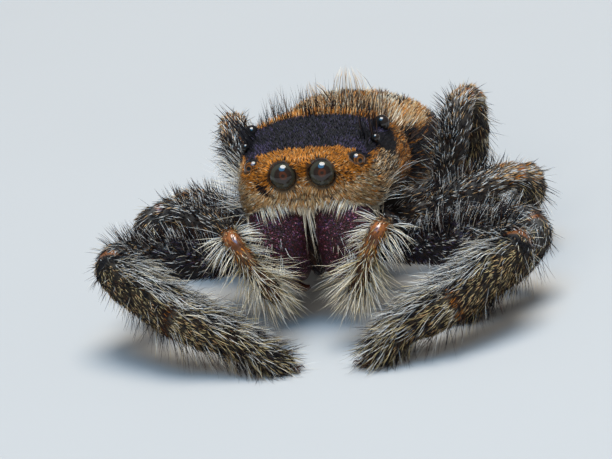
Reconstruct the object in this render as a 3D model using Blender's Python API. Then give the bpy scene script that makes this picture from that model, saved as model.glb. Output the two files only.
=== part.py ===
"""A female jumping spider at life size, crouched with its front legs held round its face.

The spider faces -Y, +Z is up and it stands on Z = 0. Left is its own left, +X.
Sizes are in millimetres, the unit such an animal is measured in, and each finished
piece is brought to metres. The origin is the middle of its footprint, on the floor.
"""

import math
import random

import bmesh
import bpy
from mathutils import Matrix, Vector
from mathutils.bvhtree import BVHTree

# Room between pieces that meet, and round an eye in its socket
GAP = 0.22
EYE_GAP = 0.1
FLOOR_ROOM = 0.12
METRES = 0.001

# Carapace: place along the body, half width, underside and top, from face to waist
CARAPACE = (
    (-3.35, 1.25, 4.02, 5.25),
    (-3.25, 1.68, 3.82, 5.40),
    (-2.90, 2.04, 3.60, 5.50),
    (-2.30, 2.30, 3.25, 5.60),
    (-1.40, 2.52, 2.80, 5.78),
    (-0.40, 2.62, 2.50, 5.85),
    (0.70, 2.60, 2.42, 5.55),
    (1.80, 2.30, 2.42, 4.75),
    (2.70, 1.70, 2.45, 3.85),
    (3.20, 0.90, 2.60, 3.35),
)
CARAPACE_SQUARENESS = 2.5
CARAPACE_SIDES = 20

# Breast plate under the carapace, which the legs grow from
STERNUM_CENTRE = Vector((0, 0.15, 2.2))
STERNUM_HALF = Vector((1.35, 2.3, 0.75))

# Abdomen, in the same four sizes, from waist to spinnerets
ABDOMEN = (
    (3.60, 0.70, 2.20, 3.20),
    (3.95, 1.50, 1.60, 3.65),
    (4.70, 2.20, 0.90, 4.00),
    (6.00, 2.65, 0.50, 4.05),
    (7.40, 2.78, 0.40, 3.85),
    (8.80, 2.55, 0.42, 3.45),
    (10.00, 1.90, 0.60, 2.85),
    (10.80, 1.10, 0.90, 2.30),
    (11.20, 0.50, 1.20, 1.90),
)
ABDOMEN_SQUARENESS = 2.15
ABDOMEN_SIDES = 20
# The abdomen's lean to its left and swing to its right, about the waist
ABDOMEN_LEAN = math.radians(9)
ABDOMEN_SWING = math.radians(5)
WAIST = Vector((0, 3.4, 2.75))
WAIST_RADIUS = 0.42

# Eyes on the left half: radius and place
EYES = {
    "front_middle": (0.43, Vector((0.615, -3.20, 4.90))),
    "front_side": (0.27, Vector((1.62, -2.74, 5.04))),
    "small": (0.13, Vector((2.06, -1.62, 5.33))),
    "rear": (0.23, Vector((2.08, -0.50, 5.42))),
}

# Jaws: height, centre across and along, half width and half depth, from top to tip
JAW = (
    (4.00, 1.02, -2.70, 0.78, 0.45),
    (3.65, 1.04, -2.85, 0.89, 0.66),
    (3.00, 1.04, -3.03, 0.92, 0.84),
    (2.30, 1.02, -3.06, 0.87, 0.81),
    (1.75, 0.97, -3.00, 0.75, 0.67),
    (1.42, 0.93, -2.90, 0.54, 0.48),
)
JAW_SIDES = 12
FANG_ROOT = Vector((0.92, -2.95, 1.55))
FANG_TIP = Vector((0.42, -2.75, 1.02))
FANG_RADIUS = 0.26

# Corners of each leg: second joint, knee, ankle and toe. Its first corner is its hip.
HIP_ACROSS = 0.8
HIP_HEIGHT = 1.85
HIPS_ALONG = {1: -1.7, 2: -0.55, 3: 0.6, 4: 1.75}
LEG_CORNERS = {
    (1, "left"): ((2.65, -2.3, 1.85), (6.8, -4.0, 2.6), (3.2, -6.5, 1.05), (2.1, -6.85, 0)),
    (1, "right"): ((-2.65, -2.3, 1.85), (-6.6, -4.2, 2.95), (-2.2, -6.6, 1.05), (-0.5, -7.0, 0)),
    (2, "left"): ((2.8, -0.9, 1.95), (6.9, -1.8, 2.35), (5.5, -3.3, 0.95), (4.4, -4.0, 0)),
    (2, "right"): ((-2.8, -0.9, 1.95), (-5.1, -1.75, 3.7), (-5.65, -2.1, 1.1), (-5.3, -2.9, 0)),
    (3, "left"): ((2.8, 0.7, 2.0), (5.9, 1.2, 2.9), (5.6, 2.9, 1.1), (5.3, 4.2, 0)),
    (3, "right"): ((-2.8, 0.7, 2.0), (-5.05, 1.5, 2.65), (-5.4, 3.2, 1.1), (-5.4, 4.6, 0)),
    (4, "left"): ((3.1, 2.3, 2.0), (4.15, 3.1, 5.5), (3.55, 4.9, 1.2), (3.9, 6.5, 0)),
    (4, "right"): ((-3.0, 2.3, 2.0), (-3.65, 3.1, 5.1), (-3.5, 4.9, 1.2), (-4.1, 6.5, 0)),
}
# Thickness along a leg as a radius, by joint number: hip 0, second joint 1, knee 2,
# end of the patella 3, ankle 4, toe 5
LEG_PROFILE = (
    (0.0, 0.40),
    (1.0, 0.42),
    (1.5, 0.72),
    (1.8, 0.62),
    (2.0, 0.50),
    (2.5, 0.66),
    (3.0, 0.60),
    (3.5, 0.63),
    (4.0, 0.45),
    (4.5, 0.41),
    (5.0, 0.33),
)
FRONT_LEG_PROFILE = (
    (0.0, 0.40),
    (1.0, 0.42),
    (1.5, 0.74),
    (1.8, 0.64),
    (2.0, 0.50),
    (2.45, 0.76),
    (3.0, 0.74),
    (3.5, 0.74),
    (4.0, 0.56),
    (4.5, 0.53),
    (5.0, 0.44),
)
LEG_GIRTH = {1: 1.0, 2: 0.86, 3: 0.8, 4: 0.8}
LEG_COAT = {1: 1.0, 2: 0.92, 3: 0.82, 4: 0.76}
KNEE_COAT = 0.72
PATELLA_SHARE = {1: 0.66, 2: 0.5, 3: 0.5, 4: 0.5}
PATELLA_ARCH = 0.35
LEG_BENDS = {
    1: (0.8, 0.39, 1.6, 1.1),
    2: (0.8, 0.78, 1.6, 1.1),
    3: (0.8, 0.78, 1.6, 1.1),
    4: (0.8, 0.78, 1.6, 1.1),
}
# Height of a toe's middle over the floor as a share of its radius, which leaves a flat
TOE_HEIGHT = 0.3
LEG_STEP = 0.6
KNEE = 2
# How far each length runs past the knee, in joint numbers, before it is cut square
KNEE_LAP = 0.08
CUTTER = 3.0

# Feelers: corners and radii from the mouth to the tip
PALP_CORNERS = {
    "left": ((1.5, -1.5, 3.3), (2.62, -2.9, 2.75), (2.42, -4.35, 3.5), (1.85, -4.75, 2.4), (1.5, -5.0, 1.55)),
    "right": ((-1.5, -1.5, 3.3), (-2.6, -2.9, 2.75), (-2.3, -4.35, 3.5), (-1.6, -4.75, 2.45), (-0.95, -5.0, 1.6)),
}
PALP_PROFILE = ((0.0, 0.26), (1.0, 0.27), (2.0, 0.31), (3.0, 0.31), (3.6, 0.35), (4.0, 0.26))
PALP_BENDS = (0.35, 0.42, 0.6)
PALP_STEP = 0.4

# Spinnerets: a ring of short cones round the tip of the abdomen
SPINNERET_ROOT = Vector((0, 10.9, 1.5))
SPINNERET_LENGTH = 1.25
SPINNERET_RADIUS = 0.27
SPINNERETS = 6

# Coat: each lock is a flat form that tapers and bends over along its lie. Sizes are its
# length, its width and thickness at the root, how far it leans over from upright there,
# how much further it bends by its tip, and its stretches.
LOCKS = {
    "leg": (1.45, 0.95, 0.52, 48, 26, 2),
    "front_leg": (1.55, 0.95, 0.54, 44, 34, 3),
    "foot": (0.9, 0.7, 0.46, 50, 22, 2),
    "back": (1.5, 1.2, 0.54, 54, 24, 2),
    "ruff": (1.5, 0.85, 0.52, 28, 22, 3),
    "fringe": (0.8, 0.6, 0.4, 18, 40, 3),
    "cheek": (1.15, 0.66, 0.5, 38, 22, 2),
    "side": (0.95, 0.95, 0.5, 60, 14, 2),
    "feeler": (1.4, 0.58, 0.48, 42, 26, 3),
    "bristle": (1.25, 0.36, 0.36, 24, -8, 2),
    "brow": (0.78, 0.56, 0.42, 26, 20, 2),
}
LOCK_SINK = 0.24
LOCK_CLEAR = 0.2
LOCK_APART = 0.3
EYE_CLEAR = 0.1
LOCK_VARIETY = 0.16
SEED = 7
# What a lock that would touch its neighbour tries in turn: length and lean as shares
LOCK_TRIES = (
    (1.0, 1.0),
    (0.88, 0.85),
    (0.8, 1.15),
    (0.74, 0.7),
    (0.66, 1.2),
    (0.6, 0.5),
    (0.54, 1.3),
    (0.48, 0.8),
)

# Rings of locks along the legs: distance between them, and locks in each
RING_STEP = 1.38
FRONT_RING_STEP = 1.16
RING_LOCKS = 4
FRONT_RING_LOCKS = 5
RING_START = 0.7
FOOT_JOINT = 4.45
THIGH_START = 2.2
THIGH_END_ROOM = 0.85

# Rows round the abdomen: place along it and locks in each, none on the belly
BACK_ROWS = ((4.1, 7), (5.1, 8), (6.3, 9), (7.5, 9), (8.7, 8), (9.8, 6), (10.5, 4))
BACK_BARE = math.radians(48)
RUFF_SPREAD = math.radians(55)

# Locks of the head on its left half: kind, a point out from the root, the point inward
# that the root is sought towards, and the way the lock lies
HEAD_LOCKS = (
    ("fringe", (0.32, -5.0, 4.2), (0.32, 0, 4.2), (-0.1, -0.7, -1.0)),
    ("fringe", (0.95, -5.0, 4.2), (0.95, 0, 4.2), (0.0, -0.7, -1.0)),
    ("fringe", (1.54, -5.0, 4.2), (1.44, 0, 4.2), (0.1, -0.8, -1.0)),
    ("fringe", (2.24, -5.0, 4.12), (1.80, 0, 4.12), (0.2, -0.7, -0.9)),
    ("cheek", (3.4, -5.0, 4.15), (0.8, -0.9, 4.15), (0.9, -0.1, -0.1)),
    ("cheek", (4.0, -3.4, 3.9), (0.5, -1.0, 3.9), (0.6, 0.5, 0.2)),
    ("cheek", (4.0, -3.5, 4.7), (0.5, -1.0, 4.7), (0.5, 0.5, 0.5)),
    ("cheek", (4.0, -2.1, 4.1), (0.0, -1.4, 4.1), (0.3, 0.9, 0.3)),
    ("cheek", (4.0, -1.9, 4.9), (0.0, -1.4, 4.9), (0.2, 0.8, 0.6)),
    ("side", (4.0, -0.7, 4.3), (0.0, -0.5, 4.3), (0.1, 1.0, -0.1)),
    ("side", (4.0, 0.3, 3.6), (0.0, 0.3, 3.6), (0.1, 1.0, -0.1)),
    ("side", (4.0, 0.5, 4.6), (0.0, 0.3, 4.4), (0.1, 1.0, -0.1)),
    ("side", (4.0, 1.5, 3.9), (0.0, 1.1, 3.7), (0.0, 1.0, -0.2)),
    ("bristle", (2.05, -1.25, 8), (2.05, -1.25, 3), (-1.0, 0.1, 0.5)),
    ("bristle", (1.85, -1.75, 8), (1.85, -1.75, 3), (-1.0, -0.2, 0.5)),
    ("bristle", (1.7, -1.3, 8), (1.7, -1.3, 3), (-1.0, 0.5, 0.5)),
    ("brow", (1.55, -0.1, 8), (1.5, -0.1, 3), (0.1, 1, 0)),
    ("brow", (0.95, 0.05, 8), (0.9, 0.05, 3), (0.0, 1, 0)),
    ("brow", (0.32, -0.05, 8), (0.3, -0.05, 3), (0.0, 1, 0)),
)

# Rings round a feeler: joint number, locks, and how far the first stands from the top
FEELER_RINGS = ((2.2, 3, 60), (2.8, 4, 0), (3.4, 4, 45), (3.88, 5, 10))

# Colour, roughness and metallic value of each kind of piece
FINISHES = {
    "tan_coat": ((0.50, 0.30, 0.15), 0.8, 0.0),
    "orange_coat": ((0.55, 0.24, 0.05), 0.8, 0.0),
    "dark_leg": ((0.10, 0.08, 0.075), 0.7, 0.0),
    "feeler": ((0.62, 0.50, 0.30), 0.7, 0.0),
    "eye": ((0.02, 0.018, 0.015), 0.08, 0.0),
    "jaw": ((0.06, 0.012, 0.035), 0.35, 0.2),
}


def clear_scene():
    """Removes whatever the scene holds."""
    for obj in list(bpy.data.objects):
        bpy.data.objects.remove(obj, do_unlink=True)


def make_collection(name):
    """A collection linked to the scene."""
    collection = bpy.data.collections.new(name)
    bpy.context.scene.collection.children.link(collection)
    return collection


def finish_material(name):
    """The Principled material of a kind of piece."""
    material = bpy.data.materials.get(name)
    if material is None:
        colour, roughness, metallic = FINISHES[name]
        material = bpy.data.materials.new(name)
        material.use_nodes = True
        shader = material.node_tree.nodes["Principled BSDF"]
        shader.inputs["Base Color"].default_value = (*colour, 1.0)
        shader.inputs["Roughness"].default_value = roughness
        shader.inputs["Metallic"].default_value = metallic
    return material


def object_from(name, mesh_data, collection):
    """An object that holds a bmesh, which is freed."""
    bmesh.ops.recalc_face_normals(mesh_data, faces=mesh_data.faces)
    mesh = bpy.data.meshes.new(name)
    mesh_data.to_mesh(mesh)
    mesh_data.free()
    obj = bpy.data.objects.new(name, mesh)
    collection.objects.link(obj)
    return obj


def interpolate(rows, value):
    """The sizes of a table at a value of its first column, eased between its rows."""
    if value <= rows[0][0]:
        return rows[0][1:]
    for low, high in zip(rows, rows[1:]):
        if value <= high[0]:
            share = (value - low[0]) / (high[0] - low[0])
            share = share * share * (3 - 2 * share)
            return tuple(a + (b - a) * share for a, b in zip(low[1:], high[1:]))
    return rows[-1][1:]


def smooth_rows(rows, between):
    """The rows of a table with more between them, on a Catmull-Rom curve."""
    dense = []
    for i in range(len(rows) - 1):
        before, low, high, after = (
            Vector(rows[max(i - 1, 0)]),
            Vector(rows[i]),
            Vector(rows[i + 1]),
            Vector(rows[min(i + 2, len(rows) - 1)]),
        )
        for step in range(between):
            t = step / between
            dense.append(
                0.5
                * (
                    2 * low
                    + (high - before) * t
                    + (2 * before - 5 * low + 4 * high - after) * t * t
                    + (3 * low - before - 3 * high + after) * t**3
                )
            )
    dense.append(Vector(rows[-1]))
    return dense


def round_box(across, up, squareness, sides):
    """Points of a rounded rectangle with these half sizes, from its right side upwards."""
    power = 2 / squareness
    points = []
    for k in range(sides):
        turn = 2 * math.pi * k / sides
        c, s = math.cos(turn), math.sin(turn)
        points.append(
            (
                across * math.copysign(abs(c) ** power, c),
                up * math.copysign(abs(s) ** power, s),
            )
        )
    return points


def loft(name, rings, collection, tip=None):
    """A closed body through rings of equal count, with flat ends or a pointed tip."""
    shape = bmesh.new()
    loops = [[shape.verts.new(point) for point in ring] for ring in rings]
    count = len(rings[0])
    for low, high in zip(loops, loops[1:]):
        for k in range(count):
            shape.faces.new((low[k], low[(k + 1) % count], high[(k + 1) % count], high[k]))
    shape.faces.new(loops[0])
    if tip is None:
        shape.faces.new(reversed(loops[-1]))
    else:
        point = shape.verts.new(tip)
        for k in range(count):
            shape.faces.new((loops[-1][k], loops[-1][(k + 1) % count], point))
    return object_from(name, shape, collection)


def body_form(name, rows, squareness, sides, collection, grow=0.0):
    """A form that runs along Y through the rows of a table, made larger by grow all round."""
    rings = []
    for k, (y, half, low, top) in enumerate(rows):
        if k in (0, len(rows) - 1):
            y += grow if k else -grow
        middle, up = (low + top) / 2, (top - low) / 2
        outline = round_box(half + grow, up + grow, squareness, sides)
        rings.append([Vector((x, y, middle + z)) for x, z in outline])
    return loft(name, rings, collection)


def ball(name, centre, half, collection, across=12, along=8):
    """An ellipsoid with these half sizes."""
    shape = bmesh.new()
    bmesh.ops.create_uvsphere(shape, u_segments=across, v_segments=along, radius=1.0)
    bmesh.ops.scale(shape, vec=half, verts=shape.verts)
    bmesh.ops.translate(shape, vec=centre, verts=shape.verts)
    return object_from(name, shape, collection)


def cone(name, root, tip, root_radius, tip_radius, collection, sides=8):
    """A tapered pin between two points."""
    shape = bmesh.new()
    along = tip - root
    bmesh.ops.create_cone(
        shape,
        cap_ends=True,
        segments=sides,
        radius1=root_radius,
        radius2=tip_radius,
        depth=along.length,
    )
    turn = along.to_track_quat("Z", "Y").to_matrix().to_4x4()
    bmesh.ops.transform(
        shape, matrix=Matrix.Translation((root + tip) / 2) @ turn, verts=shape.verts
    )
    return object_from(name, shape, collection)


def rounded_path(corners, bends, step):
    """(place, joint number) pairs along corners whose bends are rounded to these radii."""
    places = [(Vector(corners[0]), 0.0)]
    for i in range(1, len(corners) - 1):
        corner = Vector(corners[i])
        back = (Vector(corners[i - 1]) - corner).normalized()
        ahead = (Vector(corners[i + 1]) - corner).normalized()
        half_turn = back.angle(ahead) / 2
        room = 0.48 * min(
            (Vector(corners[i - 1]) - corner).length,
            (Vector(corners[i + 1]) - corner).length,
        )
        radius = min(bends[i - 1], room * math.tan(half_turn))
        middle = (back + ahead).normalized()
        centre = corner + middle * (radius / math.sin(half_turn))
        sweep = math.pi / 2 - half_turn
        side = (ahead - back).normalized()
        pieces = max(2, round(2 * sweep * radius / step))
        reach = radius / math.tan(half_turn)
        before = reach / (Vector(corners[i - 1]) - corner).length
        after = reach / (Vector(corners[i + 1]) - corner).length
        for k in range(pieces + 1):
            share = 2 * k / pieces - 1
            turn = share * sweep
            place = centre - middle * (radius * math.cos(turn)) + side * (radius * math.sin(turn))
            places.append((place, i + share * (after if share > 0 else before)))
    places.append((Vector(corners[-1]), float(len(corners) - 1)))
    dense = [places[0]]
    for (start, joint), (end, next_joint) in zip(places, places[1:]):
        length = (end - start).length
        if length < 1e-4:
            continue
        pieces = max(1, round(length / step))
        for k in range(1, pieces + 1):
            share = k / pieces
            dense.append((start.lerp(end, share), joint + (next_joint - joint) * share))
    return dense


def at_joint(path, joint):
    """Place and direction on a path at a joint number."""
    for (start, low), (end, high) in zip(path, path[1:]):
        if low <= joint <= high and high > low:
            return start.lerp(end, (joint - low) / (high - low)), (end - start).normalized()
    return path[-1][0], (path[-1][0] - path[-2][0]).normalized()


def stretch(path, first, last):
    """The part of a path between two joint numbers."""
    inside = [(place, joint) for place, joint in path if first < joint < last]
    return [(at_joint(path, first)[0], first), *inside, (at_joint(path, last)[0], last)]


def half_space(path, joint, forward, room, collection):
    """A block that reaches on from a joint, square to the limb, this far short of it."""
    place, way = at_joint(path, joint)
    before, after = at_joint(path, joint - 0.05)[0], at_joint(path, joint + 0.05)[0]
    way = (after - before).normalized() * (1 if forward else -1)
    shape = bmesh.new()
    bmesh.ops.create_cube(shape, size=CUTTER)
    turn = way.to_track_quat("Z", "Y").to_matrix().to_4x4()
    middle = place + way * (CUTTER / 2 - room)
    bmesh.ops.transform(shape, matrix=Matrix.Translation(middle) @ turn, verts=shape.verts)
    return object_from("knee_block", shape, collection)


def tube(name, path, profile, girth, collection, grow=0.0, round_tip=True):
    """A solid tube along a path, as thick as its profile says at each joint number."""
    points = [
        (place, interpolate(profile, joint)[0] * girth + grow) for place, joint in path
    ]
    if round_tip:
        end, radius = points[-1]
        way = (end - points[-2][0]).normalized()
        points[-1] = (end - way * (radius * 0.35), radius * 0.94)
        points.append((end, radius * 0.55))
    curve = bpy.data.curves.new(name, "CURVE")
    curve.dimensions = "3D"
    curve.bevel_depth = 1.0
    curve.bevel_resolution = 2
    curve.use_fill_caps = True
    spline = curve.splines.new("POLY")
    spline.points.add(len(points) - 1)
    for target, (place, radius) in zip(spline.points, points):
        target.co = (*place, 1.0)
        target.radius = radius
    guide = bpy.data.objects.new(name + "_line", curve)
    collection.objects.link(guide)
    bpy.context.view_layer.update()
    evaluated = guide.evaluated_get(bpy.context.evaluated_depsgraph_get())
    mesh = bpy.data.meshes.new_from_object(evaluated)
    shape = bmesh.new()
    shape.from_mesh(mesh)
    bmesh.ops.remove_doubles(shape, verts=shape.verts, dist=1e-4)
    bpy.data.objects.remove(guide)
    bpy.data.meshes.remove(mesh)
    return object_from(name, shape, collection)


def apply_modifiers(obj):
    """Makes an object's mesh what its modifiers give, and keeps its largest closed surface."""
    bpy.context.view_layer.update()
    evaluated = obj.evaluated_get(bpy.context.evaluated_depsgraph_get())
    mesh = bpy.data.meshes.new_from_object(evaluated)
    obj.modifiers.clear()
    obj.data = mesh
    shape = bmesh.new()
    shape.from_mesh(mesh)
    left = set(shape.verts)
    islands = []
    while left:
        grown = [left.pop()]
        island = []
        while grown:
            vert = grown.pop()
            island.append(vert)
            for edge in vert.link_edges:
                other = edge.other_vert(vert)
                if other in left:
                    left.remove(other)
                    grown.append(other)
        islands.append(island)
    islands.sort(key=len)
    for island in islands[:-1]:
        bmesh.ops.delete(shape, geom=island, context="VERTS")
    shape.to_mesh(mesh)
    shape.free()


def combine(obj, operation, others, solver="EXACT"):
    """Joins other objects to this one, or cuts them from it, and removes them."""
    if not others:
        return
    tools = make_collection(obj.name + "_tools")
    for other in others:
        for owner in list(other.users_collection):
            owner.objects.unlink(other)
        tools.objects.link(other)
    modifier = obj.modifiers.new(operation.lower(), "BOOLEAN")
    modifier.operation = operation
    modifier.solver = solver
    modifier.operand_type = "COLLECTION"
    modifier.collection = tools
    apply_modifiers(obj)
    for other in others:
        bpy.data.objects.remove(other)
    bpy.data.collections.remove(tools)


def mirrored(place):
    """A place on the spider's other side."""
    return Vector((-place.x, place.y, place.z))


def eye_place(kind, side):
    """Radius and centre of an eye."""
    radius, place = EYES[kind]
    return radius, place if side == "left" else mirrored(place)


def head_forms(collection, grow=0.0):
    """The carapace and the breast plate, made larger by grow."""
    carapace = body_form(
        "carapace_form", CARAPACE, CARAPACE_SQUARENESS, CARAPACE_SIDES, collection, grow
    )
    room = Vector((grow, grow, grow))
    sternum = ball("sternum_form", STERNUM_CENTRE, STERNUM_HALF + room, collection, 14, 8)
    return [carapace, sternum]


def floor_block(collection):
    """A block under the floor, which trims what stands on it to a small flat."""
    shape = bmesh.new()
    bmesh.ops.create_cube(shape, size=40)
    bmesh.ops.translate(shape, vec=(0, 0, -20), verts=shape.verts)
    return object_from("floor_block", shape, collection)


def make_cephalothorax(parts):
    """Head and thorax in one shield, with a socket for each eye."""
    body, sternum = head_forms(parts)
    body.name = "cephalothorax"
    combine(body, "UNION", [sternum])
    sockets = []
    for kind in EYES:
        for side in ("left", "right"):
            radius, place = eye_place(kind, side)
            half = Vector((1, 1, 1)) * (radius + EYE_GAP)
            sides = 12 if radius > 0.3 else 8
            sockets.append(ball("socket", place, half, parts, sides, sides // 2 + 1))
    combine(body, "DIFFERENCE", sockets)
    return body


def make_eyes(parts):
    """Eight round lenses, each in its socket."""
    eyes = []
    for kind in EYES:
        for side in ("left", "right"):
            radius, place = eye_place(kind, side)
            sides = 12 if radius > 0.3 else 8
            half = Vector((radius, radius, radius))
            eyes.append(ball(f"eye_{kind}_{side}", place, half, parts, sides, sides // 2 + 1))
    return eyes


def make_jaw(side, parts):
    """One jaw: a stout bulging base with a short fang folded under its tip."""
    sign = 1 if side == "left" else -1
    rings = []
    for z, x, y, across, deep in smooth_rows(JAW, 1):
        rings.append(
            [
                Vector((sign * (x + a), y + b, z))
                for a, b in round_box(across, deep, 2.3, JAW_SIDES)
            ]
        )
    jaw = loft(f"jaw_{side}", rings, parts)
    root = FANG_ROOT if side == "left" else mirrored(FANG_ROOT)
    tip = FANG_TIP if side == "left" else mirrored(FANG_TIP)
    combine(jaw, "UNION", [cone("fang", root, tip, FANG_RADIUS, 0.07, parts)])
    combine(jaw, "DIFFERENCE", head_forms(parts, GAP))
    return jaw


def palp_path(side):
    """The line that a feeler follows."""
    return rounded_path(PALP_CORNERS[side], PALP_BENDS, PALP_STEP)


def make_palp(side, parts):
    """One feeler, bent down in front of the jaws."""
    palp = tube(f"feeler_{side}", palp_path(side), PALP_PROFILE, 1.0, parts)
    combine(palp, "DIFFERENCE", head_forms(parts, GAP))
    return palp


def leg_profile(number):
    """How thick a leg is along its length."""
    return FRONT_LEG_PROFILE if number == 1 else LEG_PROFILE


def leg_path(number, side):
    """The line that a leg follows, from hip to toe."""
    joint, knee, ankle, toe = (Vector(c) for c in LEG_CORNERS[number, side])
    toe.z = leg_profile(number)[-1][1] * LEG_GIRTH[number] * TOE_HEIGHT
    sign = 1 if side == "left" else -1
    hip = Vector((sign * HIP_ACROSS, HIPS_ALONG[number], HIP_HEIGHT))
    patella_end = knee.lerp(ankle, PATELLA_SHARE[number])
    outward = (patella_end - Vector((0, 0, 2))).normalized()
    patella_end += outward * PATELLA_ARCH
    return rounded_path((hip, joint, knee, patella_end, ankle, toe), LEG_BENDS[number], LEG_STEP)


def make_leg(number, side, parts):
    """One leg in two lengths that meet at the knee: thigh, and shank with its foot."""
    path = leg_path(number, side)
    girth = LEG_GIRTH[number]
    thigh = tube(
        f"leg_{number}_{side}_thigh",
        stretch(path, 0, KNEE + KNEE_LAP),
        leg_profile(number),
        girth,
        parts,
        round_tip=False,
    )
    ahead = half_space(path, KNEE, True, GAP / 2, parts)
    combine(thigh, "DIFFERENCE", [ahead, *head_forms(parts, GAP)])
    shank = tube(
        f"leg_{number}_{side}_shank", stretch(path, KNEE - KNEE_LAP, 5), leg_profile(number), girth, parts
    )
    behind = half_space(path, KNEE, False, GAP / 2, parts)
    combine(shank, "DIFFERENCE", [behind, floor_block(parts)])
    return [thigh, shank]


def abdomen_turn():
    """How the abdomen is turned about the waist."""
    turn = Matrix.Rotation(ABDOMEN_SWING, 4, "Z") @ Matrix.Rotation(ABDOMEN_LEAN, 4, "Y")
    return Matrix.Translation(WAIST) @ turn @ Matrix.Translation(-WAIST)


def abdomen_form(name, collection, grow=0.0):
    """The abdomen's own form in its place, made larger by grow."""
    form = body_form(name, ABDOMEN, ABDOMEN_SQUARENESS, ABDOMEN_SIDES, collection, grow)
    form.data.transform(abdomen_turn())
    return form


def make_abdomen(parts):
    """Egg-shaped abdomen with the narrow waist that joins it to the thorax."""
    abdomen = abdomen_form("abdomen", parts)
    root = WAIST + Vector((0, 0.8, 0))
    end = WAIST - Vector((0, 0.8, 0))
    combine(abdomen, "UNION", [cone("waist", root, end, WAIST_RADIUS, WAIST_RADIUS, parts)])
    combine(abdomen, "DIFFERENCE", head_forms(parts, GAP))
    return abdomen


def make_spinnerets(parts):
    """A ring of silk spigots at the end of the abdomen."""
    pins = []
    for k in range(SPINNERETS):
        turn = 2 * math.pi * (k + 0.5) / SPINNERETS
        spread = Vector((math.cos(turn), 0, math.sin(turn)))
        root = SPINNERET_ROOT + spread * 0.2
        tip = root + Vector((0, SPINNERET_LENGTH, -0.2)) + spread * 0.2
        pins.append(cone("pin", root, tip, SPINNERET_RADIUS, 0.1, parts, 7))
    bundle = pins.pop()
    bundle.name = "spinnerets"
    combine(bundle, "UNION", pins)
    bundle.data.transform(abdomen_turn())
    combine(bundle, "DIFFERENCE", [abdomen_form("cutter", parts, GAP)])
    return bundle


class Coat:
    """Grows locks on the nodes, each clear of every other node and of the floor."""

    def __init__(self, nodes, collection):
        self.collection = collection
        self.dice = random.Random(SEED)
        self.trees = {}
        for node in nodes:
            shape = bmesh.new()
            shape.from_mesh(node.data)
            self.trees[node.name] = BVHTree.FromBMesh(shape)
            shape.free()
        self.nodes = {node.name: node for node in nodes}
        self.grown = {node.name: [] for node in nodes}
        self.points = {node.name: [] for node in nodes}

    def is_clear(self, name, samples):
        """Whether points on a lock are clear of the floor, other nodes and their locks."""
        if min(point.z for point in samples) < FLOOR_ROOM:
            return False
        for other, tree in self.trees.items():
            if other == name:
                continue
            needed = EYE_CLEAR if other.startswith("eye") else LOCK_CLEAR
            for point in samples:
                place, normal, _, distance = tree.find_nearest(point, 3.0)
                if place is None:
                    continue
                if distance < needed or (point - place).dot(normal) < 0:
                    return False
        for other, taken in self.points.items():
            if other == name:
                continue
            for point in samples:
                for place in taken:
                    if (point - place).length < LOCK_APART:
                        return False
        return True

    def rings_of(self, kind, root, normal, lie, scale, lean_share, variety):
        """The rings and tip of one lock, and points on the part of it that stands out."""
        length, width, thick, lean, droop, stretches = LOCKS[kind]
        length *= scale * variety
        lean, droop = math.radians(lean * lean_share), math.radians(droop)
        lie = (lie - normal * lie.dot(normal)).normalized()
        across = normal.cross(lie).normalized()

        def heading(share):
            turn = lean + droop * share
            return normal * math.cos(turn) + lie * math.sin(turn)

        place = root - heading(0) * LOCK_SINK
        rings = []
        for k in range(stretches):
            share = k / stretches
            up = across.cross(heading(share)).normalized()
            half_wide = width * (0.78 if k == 0 else 1.2 - 0.8 * share) / 2
            half_deep = thick * (1.0 - 0.7 * share) / 2
            rings.append(
                [
                    place + across * half_wide + up * half_deep * 0.6,
                    place - up * half_deep * 1.2,
                    place - across * half_wide + up * half_deep * 0.6,
                ]
            )
            step = length / stretches + (LOCK_SINK if k == 0 else 0)
            place = place + heading(share + 0.5 / stretches) * step
        outlines = rings + [[place] * 3]
        samples = [place]
        for low, high in zip(outlines, outlines[1:]):
            shares = (0.6, 0.8) if low is rings[0] else (0.0, 0.35, 0.7)
            samples += [a.lerp(b, share) for a, b in zip(low, high) for share in shares]
        return rings, place, samples

    def grow(self, name, kind, root, normal, lie, scale=1.0):
        """Adds one lock to a node where it fits."""
        variety = 1 + LOCK_VARIETY * (2 * self.dice.random() - 1)
        turn = math.radians(14) * (2 * self.dice.random() - 1)
        lie = Matrix.Rotation(turn, 3, normal) @ lie
        for size, lean in LOCK_TRIES:
            rings, tip, samples = self.rings_of(kind, root, normal, lie, scale * size, lean, variety)
            if self.is_clear(name, samples):
                self.grown[name].append(loft("lock", rings, self.collection, tip))
                self.points[name].extend(samples)
                return True
        return False

    def grow_from(self, name, kind, outside, towards, lie, scale=1.0):
        """Adds one lock where a line from outside meets a node."""
        place, normal, _, _ = self.trees[name].ray_cast(outside, (towards - outside).normalized())
        return place is not None and self.grow(name, kind, place, normal, lie, scale)

    def join(self, name):
        """Fuses a node's locks with it."""
        combine(self.nodes[name], "UNION", self.grown[name])


def walk(path, distance):
    """Place, direction and joint number at a distance along a path."""
    for (start, joint), (end, next_joint) in zip(path, path[1:]):
        length = (end - start).length
        if distance <= length:
            share = distance / length
            return start.lerp(end, share), (end - start) / length, joint + (next_joint - joint) * share
        distance -= length
    return None


def ring_frame(way):
    """Two directions square to a path: the upper one and the one to its side."""
    up = Vector((0, 0, 1)) - way * way.z
    if up.length < 0.2:
        up = Vector((0, -1, 0)) + way * way.y
    up.normalize()
    return up, way.cross(up)


def grow_ring(coat, name, kind, place, way, radius, count, start, scale=1.0):
    """A ring of locks round a limb, from an angle off its upper side."""
    up, side = ring_frame(way)
    for k in range(count):
        turn = start + 2 * math.pi * k / count
        out = up * math.cos(turn) + side * math.sin(turn)
        coat.grow(name, kind, place + out * (radius * 0.95), out, way, scale)


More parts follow.
